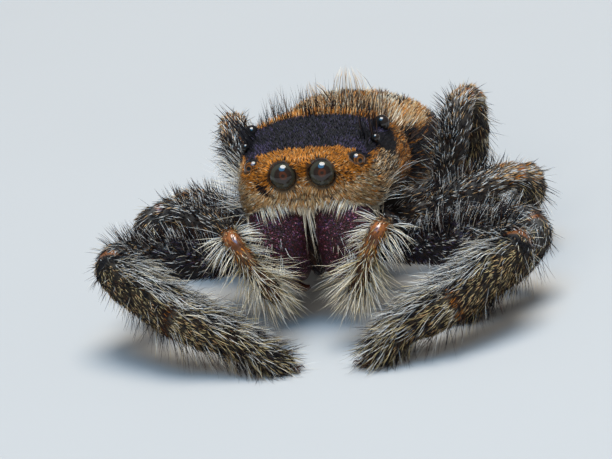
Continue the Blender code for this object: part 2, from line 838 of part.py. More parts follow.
def grow_leg(coat, number, side):
    """Locks all along a leg, in rings that leave each other room."""
    path = leg_path(number, side)
    girth = LEG_GIRTH[number]
    front = number == 1
    step = FRONT_RING_STEP if front else RING_STEP
    count = FRONT_RING_LOCKS if front else RING_LOCKS
    for part, first, last, begin, end_room in (
        ("shank", KNEE, 5, RING_START, 0.1),
        ("thigh", 0, KNEE, THIGH_START, THIGH_END_ROOM),
    ):
        name = f"leg_{number}_{side}_{part}"
        line = stretch(path, first, last)
        distance = begin
        ring = 0
        while walk(line, distance + end_room):
            place, way, joint = walk(line, distance)
            radius = interpolate(leg_profile(number), joint)[0] * girth
            kind = "front_leg" if front else "leg"
            if joint > FOOT_JOINT:
                kind = "foot"
            start = math.pi * (ring % 2) / count
            scale = LEG_COAT[number] * (KNEE_COAT if ring == 0 and part == "shank" else 1.0)
            grow_ring(coat, name, kind, place, way, radius, count, start, scale)
            distance += step * (0.75 if kind == "foot" else 1)
            ring += 1


def grow_feeler(coat, side):
    """Long locks that fan out round the lower half of a feeler."""
    path = palp_path(side)
    for joint, count, start in FEELER_RINGS:
        k = min(range(1, len(path) - 1), key=lambda i: abs(path[i][1] - joint))
        way = (path[k + 1][0] - path[k - 1][0]).normalized()
        radius = interpolate(PALP_PROFILE, joint)[0]
        grow_ring(
            coat, f"feeler_{side}", "feeler", path[k][0], way, radius, count, math.radians(start)
        )


def grow_abdomen(coat):
    """Rows of locks that lie backwards, the first ones standing up in a ruff."""
    turn = abdomen_turn()
    straight = turn.to_3x3()
    for row, (y, count) in enumerate(BACK_ROWS):
        low, top = interpolate(ABDOMEN, y)[1:]
        middle = Vector((0, y, (low + top) / 2))
        for k in range(count):
            share = (k + 0.5 * (row % 2) + 0.25) / count
            angle = math.radians(-90) + BACK_BARE + share * (2 * math.pi - 2 * BACK_BARE)
            out = Vector((math.cos(angle), 0, math.sin(angle)))
            kind = "ruff" if row == 0 and abs(angle - math.pi / 2) < RUFF_SPREAD else "back"
            scale = 1.0 if y < 9 else 0.85
            coat.grow_from(
                "abdomen",
                kind,
                turn @ (middle + out * 8),
                turn @ middle,
                straight @ Vector((0, 1, -0.15)),
                scale,
            )


def grow_head(coat):
    """Fringe over the jaws, ruffs on the cheeks, bristles by the eyes and on the crown."""
    for side in (1, -1):
        for kind, outside, towards, lie in HEAD_LOCKS:
            outside, towards, lie = (Vector((side * v[0], v[1], v[2])) for v in (outside, towards, lie))
            coat.grow_from("cephalothorax", kind, outside, towards, lie)


def box_middle(corners):
    """The middle of the box round some points."""
    low = Vector([min(c[k] for c in corners) for k in range(3)])
    high = Vector([max(c[k] for c in corners) for k in range(3)])
    return (low + high) / 2


def stand_on_origin(nodes, collection):
    """Brings the nodes to metres, the footprint's middle over the origin, and hangs them
    on one empty, each with its origin in its own middle."""
    middle = box_middle([v.co for node in nodes for v in node.data.vertices])
    shift = Matrix.Translation((-middle.x, -middle.y, 0))
    root = bpy.data.objects.new("spider_root", None)
    root.empty_display_size = 2 * METRES
    collection.objects.link(root)
    for node in nodes:
        node.data.transform(Matrix.Scale(METRES, 4) @ shift)
        own_middle = box_middle([v.co for v in node.data.vertices])
        node.data.transform(Matrix.Translation(-own_middle))
        node.location = own_middle
        node.parent = root
        node.data.shade_smooth()
        node.data.set_sharp_from_angle(angle=math.radians(50))


def paint(node, finish):
    """Gives a node its material."""
    node.data.materials.clear()
    node.data.materials.append(finish_material(finish))


def main():
    clear_scene()
    parts = make_collection("jumping_spider")
    nodes = []

    def add(made, finish):
        for node in made:
            paint(node, finish)
            nodes.append(node)

    add([make_cephalothorax(parts)], "orange_coat")
    add(make_eyes(parts), "eye")
    for side in ("left", "right"):
        add([make_jaw(side, parts)], "jaw")
        add([make_palp(side, parts)], "feeler")
    for number, side in LEG_CORNERS:
        add(make_leg(number, side, parts), "dark_leg")
    add([make_abdomen(parts)], "tan_coat")
    add([make_spinnerets(parts)], "dark_leg")
    coat = Coat(nodes, parts)
    grow_head(coat)
    for side in ("left", "right"):
        grow_feeler(coat, side)
    for number, side in LEG_CORNERS:
        grow_leg(coat, number, side)
    grow_abdomen(coat)
    for name, locks in coat.grown.items():
        if locks:
            coat.join(name)
    stand_on_origin(nodes, parts)


main()
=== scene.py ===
"""Looks of a life-size jumping spider: skin, coat, eyes, jaws, claws and a plain studio.

The file is laid out as an add-on and is run as a script. Sizes are in millimetres in the
spider's own frame, in which it faces -Y, its left is +X and the floor is z = 0. A finished
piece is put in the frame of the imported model, in metres.
"""
import math
from typing import NamedTuple

import bmesh
import bpy
import numpy as np
from bpy.props import FloatProperty, FloatVectorProperty, PointerProperty
from bpy.types import Operator, Panel, PropertyGroup
from mathutils import Matrix, Vector


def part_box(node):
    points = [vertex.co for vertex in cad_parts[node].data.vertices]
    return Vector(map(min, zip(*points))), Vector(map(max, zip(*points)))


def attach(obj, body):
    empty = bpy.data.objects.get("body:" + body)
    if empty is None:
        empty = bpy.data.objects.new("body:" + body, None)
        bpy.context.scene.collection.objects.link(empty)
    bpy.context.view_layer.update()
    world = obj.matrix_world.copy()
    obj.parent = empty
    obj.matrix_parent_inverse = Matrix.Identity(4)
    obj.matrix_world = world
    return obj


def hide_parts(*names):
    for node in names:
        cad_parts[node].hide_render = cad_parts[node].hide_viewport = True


bl_info = {
    "name": "Jumping spider looks",
    "version": (1, 0, 0),
    "blender": (4, 5, 0),
    "location": "3D View > Sidebar > Spider",
    "description": "Skin, coat, eyes, jaws, claws and studio of a life-size jumping spider",
    "category": "Object",
}

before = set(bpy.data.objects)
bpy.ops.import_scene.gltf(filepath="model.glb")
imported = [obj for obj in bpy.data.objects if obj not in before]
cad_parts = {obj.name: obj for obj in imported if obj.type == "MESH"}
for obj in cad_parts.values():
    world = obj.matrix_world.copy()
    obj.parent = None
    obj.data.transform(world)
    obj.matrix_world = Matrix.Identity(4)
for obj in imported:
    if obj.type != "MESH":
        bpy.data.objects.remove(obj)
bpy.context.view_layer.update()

MM = 0.001
SIDES = ("left", "right")
SIGN = {"left": 1.0, "right": -1.0}
SEED = 11

# Carapace: place along the body, half width, underside and top, from face to waist
CARAPACE = (
    (-3.35, 1.25, 4.02, 5.25),
    (-3.25, 1.68, 3.82, 5.40),
    (-2.90, 2.04, 3.60, 5.50),
    (-2.30, 2.30, 3.25, 5.60),
    (-1.40, 2.52, 2.80, 5.78),
    (-0.40, 2.62, 2.50, 5.85),
    (0.70, 2.60, 2.42, 5.55),
    (1.80, 2.30, 2.42, 4.75),
    (2.70, 1.70, 2.45, 3.85),
    (3.20, 0.90, 2.60, 3.35),
)
CARAPACE_SQUARENESS = 2.5
STERNUM_CENTRE = Vector((0, 0.15, 2.2))
STERNUM_HALF = Vector((1.35, 2.3, 0.75))

# Abdomen, in the same four sizes, from waist to spinnerets
ABDOMEN = (
    (3.60, 0.70, 2.20, 3.20),
    (3.95, 1.50, 1.60, 3.65),
    (4.70, 2.20, 0.90, 4.00),
    (6.00, 2.65, 0.50, 4.05),
    (7.40, 2.78, 0.40, 3.85),
    (8.80, 2.55, 0.42, 3.45),
    (10.00, 1.90, 0.60, 2.85),
    (10.80, 1.10, 0.90, 2.30),
    (11.20, 0.50, 1.20, 1.90),
)
ABDOMEN_SQUARENESS = 2.15
ABDOMEN_LEAN = math.radians(9)
ABDOMEN_SWING = math.radians(5)
WAIST = Vector((0, 3.4, 2.75))
WAIST_RADIUS = 0.42
# Pale spots of the abdomen: place along it, distance from its middle line and size
ABDOMEN_SPOTS = ((6.6, 0.85, 0.36), (7.9, 1.0, 0.34), (9.3, 0.75, 0.27), (8.6, 0.0, 0.45))

# Eyes on the left half: radius and place
EYES = {
    "front_middle": (0.43, Vector((0.615, -3.20, 4.90))),
    "front_side": (0.27, Vector((1.62, -2.74, 5.04))),
    "small": (0.13, Vector((2.06, -1.62, 5.33))),
    "rear": (0.23, Vector((2.08, -0.50, 5.42))),
}
EYES_MIDDLE = Vector((0, -3.20, 4.90))

# Jaws: height, centre across and along, half width and half depth, from top to tip
JAW = (
    (4.00, 1.02, -2.70, 0.78, 0.45),
    (3.65, 1.04, -2.85, 0.89, 0.66),
    (3.00, 1.04, -3.03, 0.92, 0.84),
    (2.30, 1.02, -3.06, 0.87, 0.81),
    (1.75, 0.97, -3.00, 0.75, 0.67),
    (1.42, 0.93, -2.90, 0.54, 0.48),
)
FANG_CORNERS = ((0.95, -2.95, 1.6), (0.86, -3.0, 1.25), (0.62, -2.88, 1.06), (0.42, -2.75, 1.02))
FANG_RADIUS = 0.24

# Corners of each leg: second joint, knee, ankle and toe. Its first corner is its hip.
HIP_ACROSS = 0.8
HIP_HEIGHT = 1.85
HIPS_ALONG = {1: -1.7, 2: -0.55, 3: 0.6, 4: 1.75}
LEG_CORNERS = {
    (1, "left"): ((2.65, -2.3, 1.85), (6.8, -4.0, 2.6), (3.2, -6.5, 1.05), (2.1, -6.85, 0)),
    (1, "right"): ((-2.65, -2.3, 1.85), (-6.6, -4.2, 2.95), (-2.2, -6.6, 1.05), (-0.5, -7.0, 0)),
    (2, "left"): ((2.8, -0.9, 1.95), (6.9, -1.8, 2.35), (5.5, -3.3, 0.95), (4.4, -4.0, 0)),
    (2, "right"): ((-2.8, -0.9, 1.95), (-5.1, -1.75, 3.7), (-5.65, -2.1, 1.1), (-5.3, -2.9, 0)),
    (3, "left"): ((2.8, 0.7, 2.0), (5.9, 1.2, 2.9), (5.6, 2.9, 1.1), (5.3, 4.2, 0)),
    (3, "right"): ((-2.8, 0.7, 2.0), (-5.05, 1.5, 2.65), (-5.4, 3.2, 1.1), (-5.4, 4.6, 0)),
    (4, "left"): ((3.1, 2.3, 2.0), (4.15, 3.1, 5.5), (3.55, 4.9, 1.2), (3.9, 6.5, 0)),
    (4, "right"): ((-3.0, 2.3, 2.0), (-3.65, 3.1, 5.1), (-3.5, 4.9, 1.2), (-4.1, 6.5, 0)),
}
# Joint numbers of a leg: hip 0, second joint 1, then these, and toe 5
KNEE = 2.0
PATELLA_END = 3.0
ANKLE = 4.0
# Thickness along a leg as a radius, by joint number
LEG_PROFILE = (
    (0.0, 0.40),
    (1.0, 0.42),
    (1.5, 0.72),
    (1.8, 0.62),
    (2.0, 0.50),
    (2.5, 0.66),
    (3.0, 0.60),
    (3.5, 0.63),
    (4.0, 0.45),
    (4.5, 0.41),
    (5.0, 0.33),
)
FRONT_LEG_PROFILE = (
    (0.0, 0.40),
    (1.0, 0.42),
    (1.5, 0.74),
    (1.8, 0.64),
    (2.0, 0.50),
    (2.45, 0.76),
    (3.0, 0.74),
    (3.5, 0.74),
    (4.0, 0.56),
    (4.5, 0.53),
    (5.0, 0.44),
)
LEG_GIRTH = {1: 1.0, 2: 0.86, 3: 0.8, 4: 0.8}
PATELLA_SHARE = {1: 0.66, 2: 0.5, 3: 0.5, 4: 0.5}
PATELLA_ARCH = 0.35
# How far each bend of a leg is rounded; the front legs' knees are tighter
LEG_BENDS = {1: (0.8, 0.39, 1.6, 1.1), **dict.fromkeys((2, 3, 4), (0.8, 0.78, 1.6, 1.1))}
TOE_HEIGHT = 0.3

# Feelers: corners and radii from the mouth to the tip
FEELER_CORNERS = {
    "left": (
        (1.5, -1.5, 3.3), (2.62, -2.9, 2.75), (2.42, -4.35, 3.5), (1.85, -4.75, 2.4),
        (1.5, -5.0, 1.55),
    ),
    "right": (
        (-1.5, -1.5, 3.3), (-2.6, -2.9, 2.75), (-2.3, -4.35, 3.5), (-1.6, -4.75, 2.45),
        (-0.95, -5.0, 1.6),
    ),
}
FEELER_PROFILE = ((0.0, 0.26), (1.0, 0.27), (2.0, 0.31), (3.0, 0.31), (3.6, 0.35), (4.0, 0.26))
FEELER_BENDS = (0.35, 0.42, 0.6)

# Spinnerets: root, and each cone's turn round it, length and radius
SPINNERET_ROOT = Vector((0, 11.05, 1.5))
SPINNERETS = (
    (45, 0.95, 0.2), (135, 0.95, 0.2), (-45, 1.05, 0.19), (-135, 1.05, 0.19),
    (0, 0.7, 0.1), (180, 0.7, 0.1),
)
# Their steps along, their distance from the root's middle, and how far they lean apart
SPINNERET_STEPS = 9
SPINNERET_GAP = 0.19
SPINNERET_FLARE = 0.09

# Upper sides of limbs lean this far outwards, and inner sides face this place
TOP_LEAN = 0.35
INNER_SIDES_FACE = (0.0, -2.6, 3.0)

LIMB_STEP = 0.14
RING_POINTS = 48
ROWS_BETWEEN = 4

# Colours that coat and skin are mixed from, by their place in a row of shares
COLOURS = ("black", "brown", "orange", "tan", "cream", "silver", "straw", "violet")

# Camera: where the photograph was taken from, in degrees and metres
CAMERA_AZIMUTH = 14.0
CAMERA_ELEVATION = 20.0
CAMERA_ROLL = 9.0
CAMERA_DISTANCE = 0.11
# Metres that one pixel of the photograph covers at the face, and where the middle of the
# front eyes lies in it from its own middle, to the left and up
PIXEL = 0.0305 * MM
EYES_IN_PICTURE = (3.5, -55.5)
PICTURE_WIDTH = 612


def home():
    """Where the middle of the spider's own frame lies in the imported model."""
    corners = [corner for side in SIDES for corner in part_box(f"eye_front_middle_{side}")]
    return sum(corners, Vector()) / len(corners) - EYES_MIDDLE * MM


HOME = home()
TO_MODEL = Matrix.Translation(HOME) @ Matrix.Scale(MM, 4)


def smooth(low, high, value):
    """0 at low, 1 at high and eased between them."""
    share = np.clip((value - low) / (high - low), 0.0, 1.0)
    return share * share * (3 - 2 * share)


def unit(vectors):
    """Rows of vectors at length one."""
    return vectors / np.maximum(np.linalg.norm(vectors, axis=-1, keepdims=True), 1e-9)


def dots(a, b):
    """Scalar products row by row, or of rows with one vector."""
    return (a * b).sum(-1)


def ripple(places, wave):
    """A gentle irregular pattern from -1 to 1 with this wave length."""
    x, y, z = (places * (2 * math.pi / wave)).T
    first = np.sin(1.0 * x + 0.7 * y + 0.3) + np.sin(-0.6 * x + 0.9 * z + 1.7)
    second = np.sin(0.8 * y - 1.1 * z + 4.1) + np.sin(1.3 * x - 0.4 * y + 0.9 * z + 2.2)
    return (first + second) / 4


def smooth_rows(rows, between):
    """The rows of a table with more between them, on a Catmull-Rom curve."""
    dense = []
    for i in range(len(rows) - 1):
        before = Vector(rows[max(i - 1, 0)])
        low, high = Vector(rows[i]), Vector(rows[i + 1])
        after = Vector(rows[min(i + 2, len(rows) - 1)])
        for step in range(between):
            t = step / between
            bend = (2 * before - 5 * low + 4 * high - after) * t * t
            twist = (3 * low - before - 3 * high + after) * t**3
            dense.append(0.5 * (2 * low + (high - before) * t + bend + twist))
    dense.append(Vector(rows[-1]))
    return dense


def profile_radius(profile, joint):
    """A limb's radius at a joint number, eased between the rows of its table."""
    if joint <= profile[0][0]:
        return profile[0][1]
    for (low, start), (high, end) in zip(profile, profile[1:]):
        if joint <= high:
            share = (joint - low) / (high - low)
            return start + (end - start) * share * share * (3 - 2 * share)
    return profile[-1][1]


def rounded_path(corners, bends, step):
    """(place, joint number) pairs along corners whose bends are rounded to these radii."""
    places = [(Vector(corners[0]), 0.0)]
    for i in range(1, len(corners) - 1):
        corner = Vector(corners[i])
        back = (Vector(corners[i - 1]) - corner).normalized()
        ahead = (Vector(corners[i + 1]) - corner).normalized()
        half_turn = back.angle(ahead) / 2
        room = 0.48 * min(
            (Vector(corners[i - 1]) - corner).length,
            (Vector(corners[i + 1]) - corner).length,
        )
        radius = min(bends[i - 1], room * math.tan(half_turn))
        middle = (back + ahead).normalized()
        centre = corner + middle * (radius / math.sin(half_turn))
        sweep = math.pi / 2 - half_turn
        side = (ahead - back).normalized()
        pieces = max(2, round(2 * sweep * radius / step))
        reach = radius / math.tan(half_turn)
        before = reach / (Vector(corners[i - 1]) - corner).length
        after = reach / (Vector(corners[i + 1]) - corner).length
        for k in range(pieces + 1):
            share = 2 * k / pieces - 1
            turn = share * sweep
            place = centre - middle * (radius * math.cos(turn)) + side * (radius * math.sin(turn))
            places.append((place, i + share * (after if share > 0 else before)))
    places.append((Vector(corners[-1]), float(len(corners) - 1)))
    dense = [places[0]]
    for (start, joint), (end, next_joint) in zip(places, places[1:]):
        length = (end - start).length
        if length < 1e-4:
            continue
        pieces = max(1, round(length / step))
        for k in range(1, pieces + 1):
            share = k / pieces
            dense.append((start.lerp(end, share), joint + (next_joint - joint) * share))
    return dense


def leg_profile(number):
    """How thick a leg is along its length."""
    return FRONT_LEG_PROFILE if number == 1 else LEG_PROFILE


def leg_path(number, side):
    """The line that a leg follows, from hip to toe."""
    joint, knee, ankle, toe = (Vector(c) for c in LEG_CORNERS[number, side])
    toe.z = leg_profile(number)[-1][1] * LEG_GIRTH[number] * TOE_HEIGHT
    hip = Vector((SIGN[side] * HIP_ACROSS, HIPS_ALONG[number], HIP_HEIGHT))
    patella_end = knee.lerp(ankle, PATELLA_SHARE[number])
    outward = (patella_end - Vector((0, 0, 2))).normalized()
    patella_end += outward * PATELLA_ARCH
    return rounded_path((hip, joint, knee, patella_end, ankle, toe), LEG_BENDS[number], LIMB_STEP)


def feeler_path(side):
    """The line that a feeler follows."""
    return rounded_path(FEELER_CORNERS[side], FEELER_BENDS, LIMB_STEP)


def abdomen_turn():
    """How the abdomen is turned about the waist."""
    turn = Matrix.Rotation(ABDOMEN_SWING, 4, "Z") @ Matrix.Rotation(ABDOMEN_LEAN, 4, "Y")
    return Matrix.Translation(WAIST) @ turn @ Matrix.Translation(-WAIST)


def turned(matrix, places):
    """Rows of places moved by a matrix."""
    full = np.array(matrix)
    return places @ full[:3, :3].T + full[:3, 3]


class Limb:
    """The middle line of a leg or feeler, with its radius and direction at each point.

    A leg has the number of its pair, and a feeler has the number 0.
    """

    def __init__(self, name, path, profile, girth=1.0, number=0):
        self.name = name
        self.side = name.split("_")[-1]
        self.girth = girth
        self.number = number
        self.place = np.array([place for place, _ in path])
        self.joint = np.array([joint for _, joint in path])
        self.radius = np.array([profile_radius(profile, joint) * girth for _, joint in path])
        self.way = unit(np.gradient(self.place, axis=0))
        steps = np.linalg.norm(np.gradient(self.place, axis=0), axis=1)
        self.joint_rate = np.gradient(self.joint) / np.maximum(steps, 1e-6)

    def locate(self, places):
        """The line's point nearest to each place, and how far from and along it that lies."""
        square = (places**2).sum(1)[:, None] + (self.place**2).sum(1)[None]
        square = square - 2 * places @ self.place.T
        nearest = square.argmin(1)
        gap = places - self.place[nearest]
        along = dots(gap, self.way[nearest])
        return nearest, np.sqrt(np.maximum((gap**2).sum(1) - along**2, 0)), along

    def frame_at(self, places):
        """Joint number, direction, and the ways up and in from the limb's line."""
        nearest, _, along = self.locate(places)
        joint = self.joint[nearest] + along * self.joint_rate[nearest]
        way = self.way[nearest]
        axis = self.place[nearest] + way * along[:, None]
        outward = axis * np.array((1.0, 1.0, 0.0))
        top = np.array((0.0, 0.0, 1.0)) + unit(outward) * TOP_LEAN
        top = unit(top - way * dots(top, way)[:, None])
        inner = np.array(INNER_SIDES_FACE) - axis
        inner = unit(inner - way * dots(inner, way)[:, None])
        return joint, way, top, inner


def all_limbs():
    """Every leg and feeler by name."""
    limbs = {}
    for number, side in LEG_CORNERS:
        name = f"leg_{number}_{side}"
        path, profile = leg_path(number, side), leg_profile(number)
        limbs[name] = Limb(name, path, profile, LEG_GIRTH[number], number)
    for side in SIDES:
        name = f"feeler_{side}"
        limbs[name] = Limb(name, feeler_path(side), FEELER_PROFILE)
    return limbs


LIMBS = all_limbs()
BODY_PARTS = ("head", "abdomen")
PARTS = BODY_PARTS + tuple(LIMBS)


def body_distance(places, rows, squareness):
    """Rough distance of places from an oval body, less than 0 inside it."""
    table = np.array([tuple(row) for row in smooth_rows(rows, ROWS_BETWEEN)])
    y = places[:, 1]
    half, low, top = (np.interp(y, table[:, 0], table[:, k]) for k in (1, 2, 3))
    middle, up = (low + top) / 2, (top - low) / 2
    across = np.abs(places[:, 0]) / half
    height = np.abs(places[:, 2] - middle) / up
    share = (across**squareness + height**squareness) ** (1 / squareness)
    beyond = np.maximum(table[0, 0] - y, 0) + np.maximum(y - table[-1, 0], 0)
    return (share - 1) * np.minimum(half, up) + beyond


def nearest_part(places):
    """Which body part each place belongs to, as its number in PARTS."""
    home_places = turned(abdomen_turn().inverted(), places)
    distances = [
        body_distance(places, CARAPACE, CARAPACE_SQUARENESS),
        body_distance(home_places, ABDOMEN, ABDOMEN_SQUARENESS),
    ]
    for limb in LIMBS.values():
        nearest, across, along = limb.locate(places)
        past_end = np.maximum(np.abs(along) - LIMB_STEP, 0)
        distances.append(np.hypot(across, past_end) - limb.radius[nearest])
    return np.array(distances).argmin(0)


# Markings, as shares of the palette's colours, one row for each place

def shares(count, **amounts):
    """Rows of colour shares from named amounts."""
    table = np.zeros((count, len(COLOURS)))
    for name, amount in amounts.items():
        table[:, COLOURS.index(name)] = amount
    return table


def paint(marks, amount, **amounts):
    """Named amounts of colours laid over marks, this far at each place."""
    return marks + (shares(len(marks), **amounts) - marks) * np.asarray(amount)[:, None]


def band_zone(places, rough=0.0):
    """1 on the black band across the top of the head."""
    _, y, z = places.T
    along = smooth(-2.6, -2.5, y + rough) * smooth(-0.36, -0.46, y)
    return along * smooth(5.02, 5.2, z + rough)


def face_edge(places, normals):
    """1 along the lower edge of the face, over the jaws."""
    down = smooth(-0.12, -0.4, normals[:, 2])
    return down * smooth(-2.0, -2.5, places[:, 1]) * smooth(4.5, 4.3, places[:, 2])


def head_marks(places, normals):
    """Orange face, black crown, speckled cheeks, brown back."""
    x, y, z = places.T
    wide = np.abs(x)
    rough = ripple(places, 0.5) * 0.06 + ripple(places, 1.7) * 0.08
    marks = shares(len(places), brown=0.35, tan=0.25, black=0.25, orange=0.15)
    flank = smooth(1.2, 2.0, wide) * smooth(3.2, 4.0, z)
    marks = paint(marks, flank, orange=0.5, brown=0.38, tan=0.12)
    behind_band = smooth(-0.42, -0.3, y) * smooth(0.2, -0.05, y) * smooth(1.9, 1.4, wide)
    marks = paint(marks, behind_band, orange=0.7, brown=0.3)
    front = smooth(-0.9, -1.6, y + rough)
    marks = paint(marks, front, orange=0.69, tan=0.06, brown=0.16, black=0.09)
    low_face = smooth(4.86, 4.45, z + rough) + smooth(1.5, 1.9, wide) * smooth(5.0, 4.7, z)
    low_face = front * np.minimum(low_face, 1)
    marks = paint(marks, low_face, tan=0.62, orange=0.1, straw=0.06, brown=0.08, cream=0.14)
    cheek = smooth(-0.6, -1.2, y) * smooth(1.95, 2.3, wide + rough) * smooth(5.05, 4.7, z)
    marks = paint(marks, cheek, tan=0.36, cream=0.14, black=0.36, brown=0.14)
    marks = paint(marks, face_edge(places, normals), cream=0.9, tan=0.1)
    band = band_zone(places, rough)
    marks = paint(marks, band, black=0.92, violet=0.08)
    from_small_eye = np.hypot(np.hypot(wide - 2.12, (y + 1.0) * 0.7), z - 5.1)
    marks = paint(marks, smooth(0.62, 0.5, from_small_eye + rough), black=1.0)
    # Painted sheen: violet patches on the band beside the side and rear eyes.
    painted_sheen = np.hypot(wide - 1.45, y + 2.25) * 0.9
    painted_sheen = np.minimum(painted_sheen, np.hypot(wide - 1.85, y + 0.75))
    marks = paint(marks, band * smooth(0.5, 0.2, painted_sheen), violet=0.34, black=0.66)
    across, up = x + 1.2, z - 4.58
    bald = np.hypot((across * 0.78 - up * 0.62) * 0.33, across * 0.62 + up * 0.78) + (y > -2.4)
    marks = paint(marks, smooth(0.13, 0.05, bald), black=0.8, brown=0.2)
    return paint(marks, smooth(3.3, 2.7, z), black=0.6, brown=0.3, silver=0.1)


def abdomen_marks(places):
    """Peach and tan back with a pale front and pale dark-edged spots, dark flanks, and painted shade on the
    front slope that faces the head.
    """
    own = turned(abdomen_turn().inverted(), places)
    x, y, z = own.T
    wide = np.abs(x)
    rough = ripple(own, 1.1) * 0.14
    marks = shares(len(places), tan=0.55, orange=0.22, cream=0.1, brown=0.13)
    middle = smooth(1.25, 0.8, wide + rough) * smooth(5.6, 6.4, y) * smooth(10.6, 10.0, y)
    marks = paint(marks, middle, brown=0.4, orange=0.3, black=0.12, tan=0.18)
    for place, across, size in ABDOMEN_SPOTS:
        far = np.hypot(wide - across, (y - place) * (0.8 if across else 1.2)) / size + rough
        marks = paint(marks, smooth(1.6, 1.3, far), black=0.7, brown=0.3)
        marks = paint(marks, smooth(1.08, 0.9, far), cream=0.85, tan=0.15)
    marks = paint(marks, smooth(5.3, 4.7, y + rough), tan=0.5, cream=0.32, orange=0.18)
    # Painted shade: the front slope, which faces the head across the waist, is painted black.
    marks = paint(marks, smooth(4.2, 4.0, y + rough * 0.5), black=0.8, brown=0.2)
    middles = [(low + top) / 2 for _, _, low, top in ABDOMEN]
    above = z - np.interp(y, [row[0] for row in ABDOMEN], middles)
    flank = smooth(1.12, 0.85, above + rough * 0.6) * smooth(2.0, 1.6, above)
    marks = paint(marks, flank, black=0.68, brown=0.26, orange=0.06)
    side_band = smooth(0.45, 0.2, above + rough) * smooth(4.8, 5.8, y)
    marks = paint(marks, side_band, tan=0.4, orange=0.2, brown=0.3, black=0.1)
    belly = smooth(-0.3, -0.8, above + rough)
    return paint(marks, belly, brown=0.35, silver=0.35, tan=0.2, black=0.1)


def silver_side(facing_up, facing_in):
    """1 where a leg looks up and in, which is where its silver hair grows."""
    return smooth(0.1, 0.7, (facing_up * 0.8 + facing_in) / 1.28)


def near(joint, place, outer, inner):
    """1 within the inner distance of a place along a limb, 0 outside the outer one."""
    return smooth(outer, inner, np.abs(joint - place))


def leg_marks(number, joint, facing_up, facing_in):
    """Black legs with straw speckles outside, silver above and inside, and pale knees."""
    marks = shares(len(joint), black=0.56, brown=0.2, violet=0.14, silver=0.1)
    if number > 1:
        marks = shares(len(joint), black=0.5, brown=0.26, silver=0.16, tan=0.08)
    above = smooth(-0.5, 0.2, facing_up)
    marks = paint(marks, smooth(1.5, 1.75, joint) * above, black=0.58, silver=0.3, tan=0.12)
    shank = smooth(KNEE, KNEE + 0.15, joint)
    marks = paint(marks, shank, black=0.6, straw=0.21, tan=0.09, brown=0.1)
    silver = shank * silver_side(facing_up, facing_in)
    marks = paint(marks, silver, silver=0.16, black=0.76, straw=0.08)
    rings = near(joint, PATELLA_END, 0.07, 0.03) + near(joint, ANKLE, 0.09, 0.04) * 0.6
    marks = paint(marks, rings, brown=0.55, orange=0.1, black=0.35)
    crescent = near(joint, KNEE + 0.15, 0.07, 0.04) * smooth(-0.2, 0.3, facing_up)
    marks = paint(marks, crescent, black=1.0)
    marks = paint(marks, near(joint, PATELLA_END + 0.1, 0.06, 0.02), cream=0.5, straw=0.3, black=0.2)
    foot = smooth(4.1, 4.6, joint)
    marks = paint(marks, foot, black=0.58, brown=0.12, straw=0.22, silver=0.08)
    if number > 1:
        top = smooth(0.1, 0.8, facing_up) * smooth(0.9, 1.3, joint) * 0.8
        marks = paint(marks, top, silver=0.3, tan=0.1, black=0.48, brown=0.12)
    if number > 2:
        knee = smooth(1.6, 1.85, joint) * smooth(2.6, 2.25, joint) * above * 0.9
        marks = paint(marks, knee, tan=0.4, orange=0.12, silver=0.4, brown=0.08)
    return marks


def knee_bare(joint, facing_up, facing_in):
    """1 where a knee's shiny skin shows through the coat."""
    return near(joint, KNEE + 0.02, 0.075, 0.02) * smooth(0.25, 0.6, facing_up - facing_in * 0.5)


def near_knee(joint):
    """1 at a leg's knee, fading out along thigh and shank."""
    return smooth(1.3, 1.8, joint) * smooth(2.9, 2.4, joint)


def feeler_bare(joint, facing_up):
    """1 where a feeler's shiny skin shows through the coat."""
    return smooth(1.84, 1.95, joint) * smooth(2.7, 2.3, joint) * smooth(0.15, 0.6, facing_up)


def feeler_marks(joint):
    """Orange-brown feelers under cream hair."""
    marks = shares(len(joint), black=0.6, brown=0.3, silver=0.1)
    marks = paint(marks, smooth(1.5, 1.9, joint), cream=0.1, straw=0.2, brown=0.5, orange=0.2)
    return paint(marks, smooth(2.5, 3.0, joint), straw=0.24, cream=0.05, brown=0.3, black=0.41)


def limb_facing(limb, places, normals):
    """Joint number, direction, and how far each normal looks up and in."""
    joint, way, top, inner = limb.frame_at(places)
    return joint, way, dots(normals, top), dots(normals, inner)


def limb_marks(limb, joint, facing_up, facing_in):
    """Colour shares of a leg's or a feeler's short hair."""
    if limb.number:
        return leg_marks(limb.number, joint, facing_up, facing_in)
    return feeler_marks(joint)


def marks_of(part, places, normals):
    """Colour shares of places on a body part."""
    if part == "head":
        return head_marks(places, normals)
    if part == "abdomen":
        return abdomen_marks(places)
    joint, _, up, inward = limb_facing(LIMBS[part], places, normals)
    return limb_marks(LIMBS[part], joint, up, inward)


def palette():
    """The palette's colours as rows, as the settings give them."""
    settings = bpy.context.scene.spider_coat
    return np.array([tuple(getattr(settings, name)) for name in COLOURS])


# Settings

class SpiderSkinSettings(PropertyGroup):
    """Sizes and colours of the skin."""

    grain: FloatProperty(
        name="Grain", description="Size of the skin's mesh faces", default=0.085, unit="NONE"
    )
    depth: FloatProperty(
        name="Coat depth", description="How far the skin lies inside the solids", default=0.1
    )
    leg_share: FloatProperty(
        name="Leg share", description="Leg skin as a share of the solid's radius",
        default=0.9, subtype="FACTOR",
    )
    bare: FloatVectorProperty(
        name="Bare skin", description="Colour of shiny skin on knees and feelers",
        default=(0.20, 0.066, 0.019), size=3, subtype="COLOR",
    )
    shade: FloatProperty(
        name="Shade", description="How bright the skin is beside its coat",
        default=0.16, subtype="FACTOR",
    )


